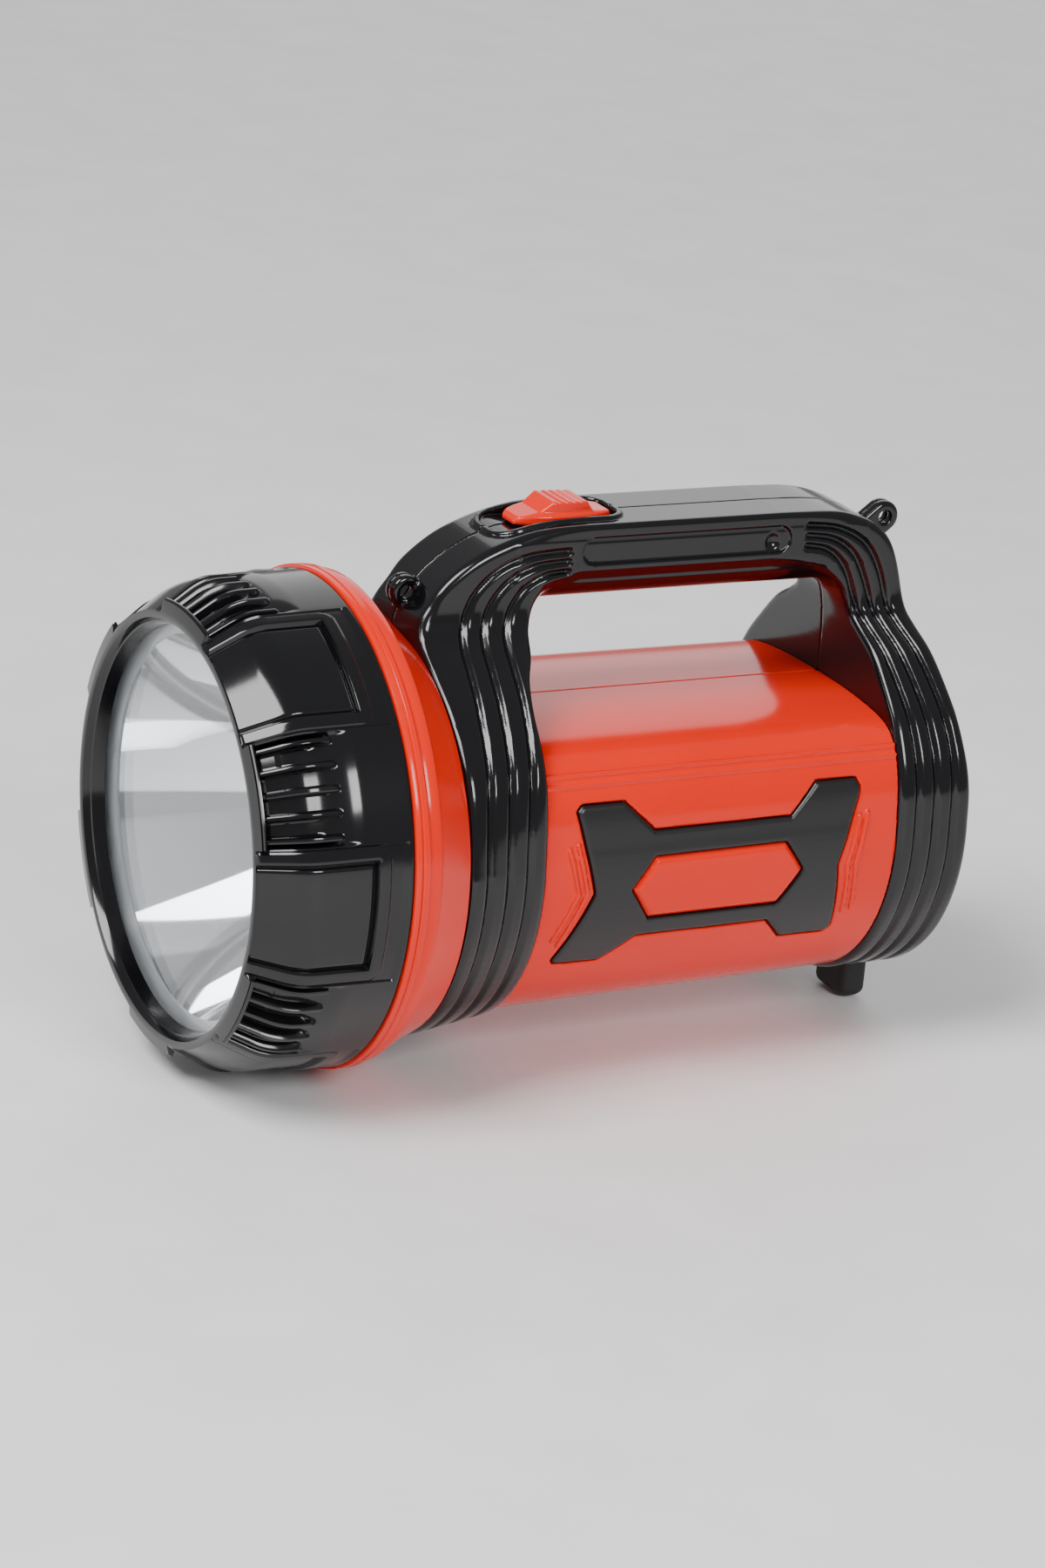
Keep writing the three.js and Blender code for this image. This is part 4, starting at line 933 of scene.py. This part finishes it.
@dataclass
class Handle:
    """The black handle halves with both arches, grooves, strap lugs and the switch pocket, in millimetres."""

    shop: Workshop
    barrel: Barrel
    top: float = 75.2
    half_width: float = 13.0
    side_bottom: float = 62.0
    underside: float = 53.5
    front: float = 19.7
    front_leg_rear: float = 42.8
    rear_leg_front: float = 142.6
    rear: float = 164.0
    middle: float = 95.0
    arch_thickness: float = 1.2
    arch_front_radius: float = 52.4
    arch_fade: float = 34.0
    edge_rounding: float = 2.6
    top_rounding: float = 2.0
    blend: float = 3.0
    belly_lift: float = 0.6
    belly_top: float = 68.0
    belly_ends: Point = (48.0, 143.0)
    groove_depth: float = 1.15
    groove_width: float = 0.8
    recess_middle: Point = (93.2, 67.7)
    recess_reach: float = 26.0
    recess_radius: float = 3.4
    recess_depth: float = 0.8
    recess_inner: float = 9.0
    dimple: tuple[float, float, float] = (14.0, 117.6, 67.0)
    dimple_radius: float = 2.7
    pocket_middle: float = 60.0
    pocket_half_length: float = 16.6
    pocket_half_width: float = 7.7
    pocket_corner: float = 5.0
    pocket_floor: float = 72.0
    pocket_depth: float = 1.6
    rim_half_width: float = 0.9
    rim_raised: float = 0.95
    rim_bottom: float = 68.0
    lug_radius: float = 4.1
    lug_half_width: float = 2.4
    eye_radius: float = 1.8
    front_lug: tuple[Point, Point] = ((22.1, 56.8), (27.0, 52.0))
    rear_lug: tuple[Point, Point] = ((156.5, 68.1), (150.0, 63.0))
    barrel_sink: float = 1.0
    neck_radius: float = 43.3
    neck_drop: float = 4.0
    neck_end: float = 32.0
    screw_holes: tuple[Point, ...] = ((37.0, 61.0), (94.0, 64.0), (148.0, 57.0))
    screw_hole_radius: float = 3.3
    screw_seat: float = 9.0
    seam_gap: float = 0.05
    crease: float = 0.4
    box_side: float = 54.0
    step: float = 0.55

    def __post_init__(self) -> None:
        """Draws the handle's outlines."""
        self.profile = Outline(self.profile_line())
        self.grip = Outline(self.grip_line())
        self.front_section = Outline(self.arch_line([
            (46.8, 11.0), (44.4, 21.0), (39.4, 29.5), (32.0, 37.0), (23.5, 43.2), (16.6, 48.0), (12.0, 53.0),
            (9.0, 60.0),
        ]))
        self.rear_section = Outline(self.arch_line([
            (46.6, 9.0), (43.4, 17.6), (38.2, 26.3), (32.0, 33.3), (25.0, 40.3), (17.5, 45.0), (12.4, 49.0),
            (9.0, 55.0),
        ]))
        self.grooves = [Outline(flowing(line), closed=False) for line in self.groove_lines()]
        along, up = self.recess_middle
        ends = [(along - self.recess_reach, up), (along + self.recess_reach, up)]
        self.recess = Outline(ends, closed=False)

    def profile_line(self) -> list[Point]:
        """The handle from the side: front leg, opening, rear leg and the arched top.

        Returns:
            The whole outline in (y, z).
        """
        ahead, behind, deep = self.front_leg_rear, self.rear_leg_front, -70.0
        opening = flowing([(ahead, -20.0), (ahead, 10.0), (ahead, 28.0), (43.3, 35.0), (45.2, 40.0),
                           (48.4, 44.4), (50.2, 49.0), (52.4, 55.4), (56.8, 60.2), (64.0, self.side_bottom)])
        opening += flowing([(118.0, self.side_bottom), (127.5, 60.7), (134.3, 57.5), (138.6, 53.8),
                            (140.8, 50.0), (142.0, 44.0), (behind, 34.0), (behind, 10.0), (behind, -20.0)])
        back = flowing([(self.rear, -20.0), (self.rear, 6.0), (162.8, 21.0), (160.8, 37.0), (157.7, 52.0),
                        (154.2, 62.6), (150.0, 68.2), (144.0, 71.6), (134.0, 74.2), (120.0, self.top)])
        top = flowing([(66.0, self.top), (57.5, 74.4), (46.0, 71.9), (36.0, 68.0), (28.0, 62.4), (23.6, 57.0),
                       (self.front, 49.0), (self.front, 30.0), (self.front, -20.0)])
        rear_leg = [(behind, deep), (self.rear, deep)]
        return [(self.front, deep), (ahead, deep)] + opening + rear_leg + back + top

    def grip_line(self) -> list[Point]:
        """The grip's section in (x, z), from below the barrel's roof to the flat top."""
        side, low = self.half_width, 20.0
        return [(-side, low), (side, low), (side, self.top), (-side, self.top)]

    def arch_line(self, flare: Sequence[Point]) -> list[Point]:
        """An arch's section: a round band under the barrel that flares up into the grip's width.

        Args:
            flare: Half-widths and heights from the band up to the grip.

        Returns:
            The whole section, both sides.
        """
        radius = self.barrel.radius + self.arch_thickness
        angles = np.radians(np.arange(-90, 9, 3.0))
        right = [(radius * np.cos(a), self.barrel.centre + radius * np.sin(a)) for a in angles]
        return mirrored(right + flowing([right[-1], *flare])[1:] + [(9.0, 72.0), (0.0, 72.0)])

    @staticmethod
    def groove_lines() -> list[list[Point]]:
        """Three grooves a side on each leg: they run from the grip's side down and round the barrel.

        Returns:
            The six lines in (y, z), the front leg's first.
        """
        front = [
            [(60.0, 68.0), (49.0, 67.2), (41.0, 64.2), (35.0, 58.4), (31.6, 50.0), (29.2, 40.0), (26.8, 27.0),
             (25.4, 10.0), (25.2, -20.0), (25.2, -68.0)],
            [(60.0, 65.4), (51.0, 64.6), (44.6, 61.6), (40.0, 56.4), (37.2, 49.6), (35.0, 40.0), (32.8, 27.0),
             (31.4, 10.0), (31.2, -20.0), (31.2, -68.0)],
            [(60.0, 62.9), (54.0, 62.2), (48.6, 59.2), (45.0, 54.0), (42.8, 47.6), (41.0, 39.0), (38.6, 26.0),
             (37.2, 10.0), (37.0, -20.0), (37.0, -68.0)],
        ]
        rear = [
            [(127.5, 70.6), (137.0, 69.2), (145.0, 64.8), (150.0, 57.0), (153.4, 46.0), (156.4, 35.0),
             (158.2, 22.0), (158.6, 6.0), (158.6, -68.0)],
            [(127.5, 68.0), (135.4, 66.6), (141.8, 62.2), (146.0, 54.6), (149.2, 45.0), (151.6, 34.0),
             (153.0, 22.0), (153.3, 6.0), (153.3, -68.0)],
            [(127.5, 65.4), (133.8, 64.0), (138.8, 59.8), (142.4, 52.6), (145.2, 44.0), (147.0, 33.0),
             (147.9, 22.0), (148.1, 6.0), (148.1, -68.0)],
        ]
        return front + rear

    def legs_field(self, x: Array, y: Array, z: Array) -> Array:
        """Both legs with their arches, before the side profile trims them.

        Args:
            x: Places across.
            y: Places along.
            z: Places up.

        Returns:
            Distances, negative inside.
        """
        centre = self.barrel.centre
        lower = np.clip((self.arch_fade - z) / self.arch_fade, 0, 1)
        share = np.clip((self.barrel.front - y) / (self.barrel.front - self.front), 0, 1) * lower
        grow = 1 + (self.arch_front_radius / (self.barrel.radius + self.arch_thickness) - 1) * share
        front = self.front_section(x / grow, centre + (z - centre - share) / grow) * grow
        shrink = 1 + (self.barrel.taper(y) - 1) * lower
        low = centre + (z - centre) / shrink
        rear = self.rear_section(x / shrink, np.where(z > centre, z, low)) * shrink
        return np.where(y < self.middle, front, rear)

    def body_field(self, x: Array, y: Array, z: Array) -> Array:
        """The handle's whole outside with rounded edges, before any groove or hole.

        Args:
            x: Places across.
            y: Places along.
            z: Places up.

        Returns:
            Distances, negative inside.
        """
        side = self.profile(y, z)
        legs = np.maximum(self.legs_field(x, y, z), np.where(y < self.middle, y - 53.0, 138.0 - y))
        bar = self.grip(x, z)
        solid = smooth_max(smooth_min(legs, bar, self.blend), side, self.edge_rounding)
        solid = smooth_max(solid, z - self.top, self.top_rounding)
        across = np.sqrt(np.clip(1 - (x / (self.half_width - 0.8)) ** 2, 0, 1))
        edge = self.side_bottom + self.belly_lift
        deep = edge - (edge - self.underside) * across
        belly = np.maximum(np.maximum(deep - z, z - self.belly_top) * 0.8, np.abs(x) - self.half_width + 1.6)
        belly = np.maximum(belly, np.maximum(self.belly_ends[0] - y, y - self.belly_ends[1]))
        return smooth_min(solid, belly, self.blend)

    def lug(self, x: Array, y: Array, z: Array, at: Point, root: Point) -> Array:
        """A strap eye: a rounded disc on a short neck, with its hole along X.

        Args:
            x: Places across.
            y: Places along.
            z: Places up.
            at: The eye's middle, in (y, z).
            root: Where its neck starts, in (y, z).

        Returns:
            The lug's field, with the hole open.
        """
        neck = np.array(root) - np.array(at)
        share = np.clip(((y - at[0]) * neck[0] + (z - at[1]) * neck[1]) / (neck @ neck), 0, 1)
        flat = np.hypot(y - at[0] - share * neck[0], z - at[1] - share * neck[1]) - self.lug_radius
        disc = smooth_max(flat, np.abs(x) - self.lug_half_width, 1.4)
        hole = np.hypot(y - at[0], z - at[1]) - self.eye_radius
        return smooth_max(disc, -hole, 0.5)

    def cut_sides(self, body: Array, x: Array, y: Array, z: Array) -> Array:
        """Cuts the grooves, the long flat recess and the round dimple of each side.

        Args:
            body: The handle's plain outside.
            x: Places across.
            y: Places along.
            z: Places up.

        Returns:
            The handle with its sides cut.
        """
        skin = body
        for groove in self.grooves:
            body = body + self.groove_depth * np.exp(-((groove(y, z) / self.groove_width) ** 2))
        stadium = np.maximum(self.recess(y, z) - self.recess_radius, self.recess_inner - np.abs(x))
        body = smooth_max(body, -np.maximum(stadium, -skin - self.recess_depth), self.crease)
        out, along, up = self.dimple
        dimple = np.sqrt((np.abs(x) - out) ** 2 + (y - along) ** 2 + (z - up) ** 2) - self.dimple_radius
        return smooth_max(body, -dimple, self.crease)

    def add_pocket(self, body: Array, skin: Array, x: Array, y: Array, z: Array) -> Array:
        """Raises the switch pocket's rim and sinks its floor.

        Args:
            body: The handle so far.
            skin: Its plain outside.
            x: Places across.
            y: Places along.
            z: Places up.

        Returns:
            The handle with the pocket.
        """
        long = np.abs(y - self.pocket_middle) - self.pocket_half_length
        pocket = rounded(np.abs(x) - self.pocket_half_width, long, self.pocket_corner)
        band = np.abs(pocket - self.rim_half_width) - self.rim_half_width
        rim = smooth_max(band, np.maximum(skin - self.rim_raised, self.rim_bottom - z), 0.7)
        floor = np.minimum(self.pocket_floor - z, skin + self.pocket_depth)
        return smooth_max(smooth_min(body, rim, 0.5), -np.maximum(pocket, floor), self.crease)

    def half_field(self, side: Side, x: Array, y: Array, z: Array) -> Array:
        """One half of the handle.

        Args:
            side: The half to describe.
            x: Places across.
            y: Places along.
            z: Places up.

        Returns:
            Distances, negative inside the half.
        """
        skin = self.body_field(x, y, z)
        body = self.add_pocket(self.cut_sides(skin, x, y, z), skin, x, y, z)
        for at, root in (self.front_lug, self.rear_lug):
            body = smooth_min(body, self.lug(x, y, z, at, root), 0.8)
        body = np.maximum(body, -self.barrel.round_field(x, y, z) - self.barrel_sink)
        neck = np.hypot(x, z + self.neck_drop) - self.neck_radius
        body = np.maximum(body, -np.where(y < self.neck_end, neck, FAR))
        if side is Side.RIGHT:
            for along, up in self.screw_holes:
                bore = np.hypot(y - along, z - up) - self.screw_hole_radius
                body = smooth_max(body, -np.maximum(bore, x + self.screw_seat), 0.5)
        return smooth_max(body, self.seam_gap - x * side.value, self.crease)

    def make(self) -> None:
        """Both halves."""
        for side in Side:
            wide = sorted((0.0, side.value * self.box_side))
            low, high = (wide[0] - 1, 16.0, -60.0), (wide[1] + 1, 166.0, 77.5)
            name = f"handle_half_{side.word}"
            half = self.shop.skin(name, partial(self.half_field, side), low, high, self.step)
            fit(half, GLOSS_BLACK, Body.TORCH, "black_abs", f"handle_{side.word}")


# ---- Switch and foot ----


@dataclass
class Switch:
    """The red thumb slide. Sizes are in millimetres."""

    shop: Workshop
    middle: float = 62.4
    half_length: float = 13.5
    half_width: float = 6.9
    end_reach: float = 15.2
    bottom: float = 72.6
    base_top: float = 75.1
    pad_top: float = 78.45
    pad_inset: float = 1.0
    groove_count: int = 4
    groove_start: float = 2.2
    groove_pitch: float = 2.0
    groove_radius: float = 0.62
    step: float = 0.28

    def __post_init__(self) -> None:
        """Draws the slide from the side: a ramped base with a thumb pad on it."""
        front, rear = self.middle - self.half_length, self.middle + self.half_length
        self.outline = Outline([
            (front, self.bottom), (rear, self.bottom), (rear, self.base_top - 0.7),
            (self.middle + 12.6, self.base_top), (self.middle + 7.6, self.base_top + 0.5),
            (self.middle + 5.6, self.pad_top - 0.3), (self.middle - 3.8, self.pad_top),
            (self.middle - 7.4, self.base_top + 0.7), (self.middle - 12.4, self.base_top - 0.5),
            (front, self.base_top - 1.3),
        ])

    def slide_field(self, x: Array, y: Array, z: Array) -> Array:
        """The slide, narrower at its ends and on its pad, with grooves across the pad.

        Args:
            x: Places across.
            y: Places along.
            z: Places up.

        Returns:
            Distances, negative inside the slide.
        """
        width = self.half_width * np.sqrt(np.clip(1 - ((y - self.middle) / self.end_reach) ** 2, 0.05, 1))
        width = width - self.pad_inset * ramp(z, self.base_top - 0.4, self.base_top + 0.9)
        body = smooth_max(self.outline(y, z), np.abs(x) - width, 0.9)
        for i in range(self.groove_count):
            along = y - self.middle + self.groove_start - i * self.groove_pitch
            groove = np.hypot(along, z - self.pad_top - 0.15) - self.groove_radius
            body = smooth_max(body, -groove, 0.3)
        return body

    def make(self) -> None:
        """The slide in one piece."""
        low = (-8.0, self.middle - 15.0, 71.5)
        high = (8.0, self.middle + 15.0, 79.5)
        knob = self.shop.skin("thumb_slide", self.slide_field, low, high, self.step)
        fit(knob, GLOSS_RED, Body.SLIDER, "red_abs", "switch_knob")


@dataclass
class Foot:
    """The rounded foot under the rear arch. Sizes are in millimetres."""

    shop: Workshop
    front: float = 156.2
    rear: float = 164.0
    bottom: float = -62.0
    top: float = -50.6
    half_width: float = 7.5
    corner: float = 3.0
    sole_rounding: float = 2.6
    step: float = 0.4

    def pad_field(self, x: Array, y: Array, z: Array) -> Array:
        """A rounded post with a flat top.

        Args:
            x: Places across.
            y: Places along.
            z: Places up.

        Returns:
            Distances, negative inside the foot.
        """
        middle = (self.front + self.rear) / 2
        half = (self.rear - self.front) / 2
        wide = smooth_max(np.abs(x) - self.half_width, np.abs(y - middle) - half, self.corner)
        return np.maximum(smooth_max(wide, self.bottom - z, self.sole_rounding), z - self.top)

    def make(self) -> None:
        """One pad that ends level with the collar."""
        low = (-self.half_width - 1, self.front - 1, self.bottom - 1)
        high = (self.half_width + 1, self.rear + 1, self.top + 1.1)
        foot = self.shop.skin("foot_pad", self.pad_field, low, high, self.step)
        fit(foot, BLACK_RUBBER, Body.TORCH, "gasket_rubber", "rear_foot")


# ---- Carried-over pieces, stage and camera ----

CARRIED: dict[str, Moulding | Metal] = {
    "led_emitter": LED_PHOSPHOR, "led_board": ALUMINIUM, "heat_sink": ALUMINIUM,
    "switch_lever": SATIN_BLACK, "switch_body": ZINC, "battery": BATTERY_CASE, "battery_pad_lower": GREY_FOAM,
    "battery_pad_upper": GREY_FOAM, "charger_board": BOARD_GREEN, "charger_capacitor": FILM_AMBER,
    "charger_inductor": SATIN_BLACK, "rear_cover": SATIN_BLACK, "charge_socket": SATIN_BLACK,
    "socket_pin_left": ZINC, "socket_pin_right": ZINC, "charge_indicator": GREEN_LIGHT_PIPE,
}


def dress_carried(frame: dict) -> None:
    """Gives every CAD node a finish, zinc where none is named; the pieces made later stand in for some.

    Args:
        frame: The loaded frame.
    """
    for name, node in frame["nodes"].items():
        dress(node, CARRIED.get(name, ZINC))
        LOG.info("%s: CAD shape dressed", name)


@dataclass(frozen=True)
class Softbox:
    """A square studio light."""

    name: str
    at: tuple[float, float, float]
    size: float
    power: float


@dataclass(frozen=True)
class Studio:
    """A pale floor, soft lights and the camera."""

    place: Place
    world_strength: float = 0.34

    LIGHTS = (
        Softbox("backdrop", (-1.5, 0.95, 1.0), 1.5, 9.0),
        Softbox("key", (0.3, -0.95, 1.35), 0.8, 32.0),
        Softbox("side", (1.4, 0.1, 0.9), 0.5, 14.0),
        Softbox("front", (-0.2, -1.8, 0.35), 0.6, 9.0),
    )

    def make(self) -> None:
        """Floor, world, lights and camera."""
        bpy.ops.mesh.primitive_plane_add(size=14.0, location=(0, 0, -0.0005))
        floor = bpy.context.object
        floor.name = "floor"
        dress(floor, Moulding("pale floor", (0.86, 0.86, 0.86), 0.6, 0.0, 0.0))
        floor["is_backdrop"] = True
        world = bpy.data.worlds.new("studio")
        world.use_nodes = True
        sky = world.node_tree.nodes["Background"]
        sky.inputs["Color"].default_value = (1.0, 1.0, 1.0, 1.0)
        sky.inputs["Strength"].default_value = self.world_strength
        bpy.context.scene.world = world
        for box in self.LIGHTS:
            light = bpy.data.lights.new(box.name, "AREA")
            light.size = box.size
            light.energy = box.power
            lamp = bpy.data.objects.new(box.name, light)
            lamp.location = box.at
            aim = Vector((0, 0, 0.06)) - Vector(box.at)
            lamp.rotation_euler = aim.to_track_quat("-Z", "Y").to_euler()
            bpy.context.scene.collection.objects.link(lamp)
        self.make_camera()

    def make_camera(self) -> None:
        """A long lens from the front left, a little above, with a slight roll."""
        data = bpy.data.cameras.new("camera")
        data.lens = 110.0
        data.sensor_width = 36.0
        data.sensor_fit = "AUTO"
        camera = bpy.data.objects.new("camera", data)
        right = Vector((0.4559, 0.886, 0.0845))
        up = Vector((-0.3298, 0.08, 0.9407))
        back = Vector((0.8267, -0.4567, 0.3287))
        spot = Vector(self.place.row(np.array([988.9, -486.6, 396.7])))
        turn = Matrix((right, up, back)).transposed().to_4x4()
        camera.matrix_world = Matrix.Translation(spot) @ turn
        bpy.context.scene.collection.objects.link(camera)
        bpy.context.scene.camera = camera


def corners() -> list[list[float]]:
    """The shown object's lowest and highest corner, as plain lists."""
    return [list(map(float, corner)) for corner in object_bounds()]


def main() -> None:
    """Loads the frame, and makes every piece."""
    logging.basicConfig(level=logging.INFO, format="%(message)s")
    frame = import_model()
    place = Place.from_frame()
    shop = Workshop(place)
    dress_carried(frame)
    head = Head(shop)
    head.make_bezel()
    head.make_optics()
    head.make_collar()
    barrel = Barrel(shop)
    barrel.make()
    Handle(shop, barrel).make()
    Switch(shop).make()
    Foot(shop).make()
    Studio(place).make()


if __name__ == "__main__":
    main()
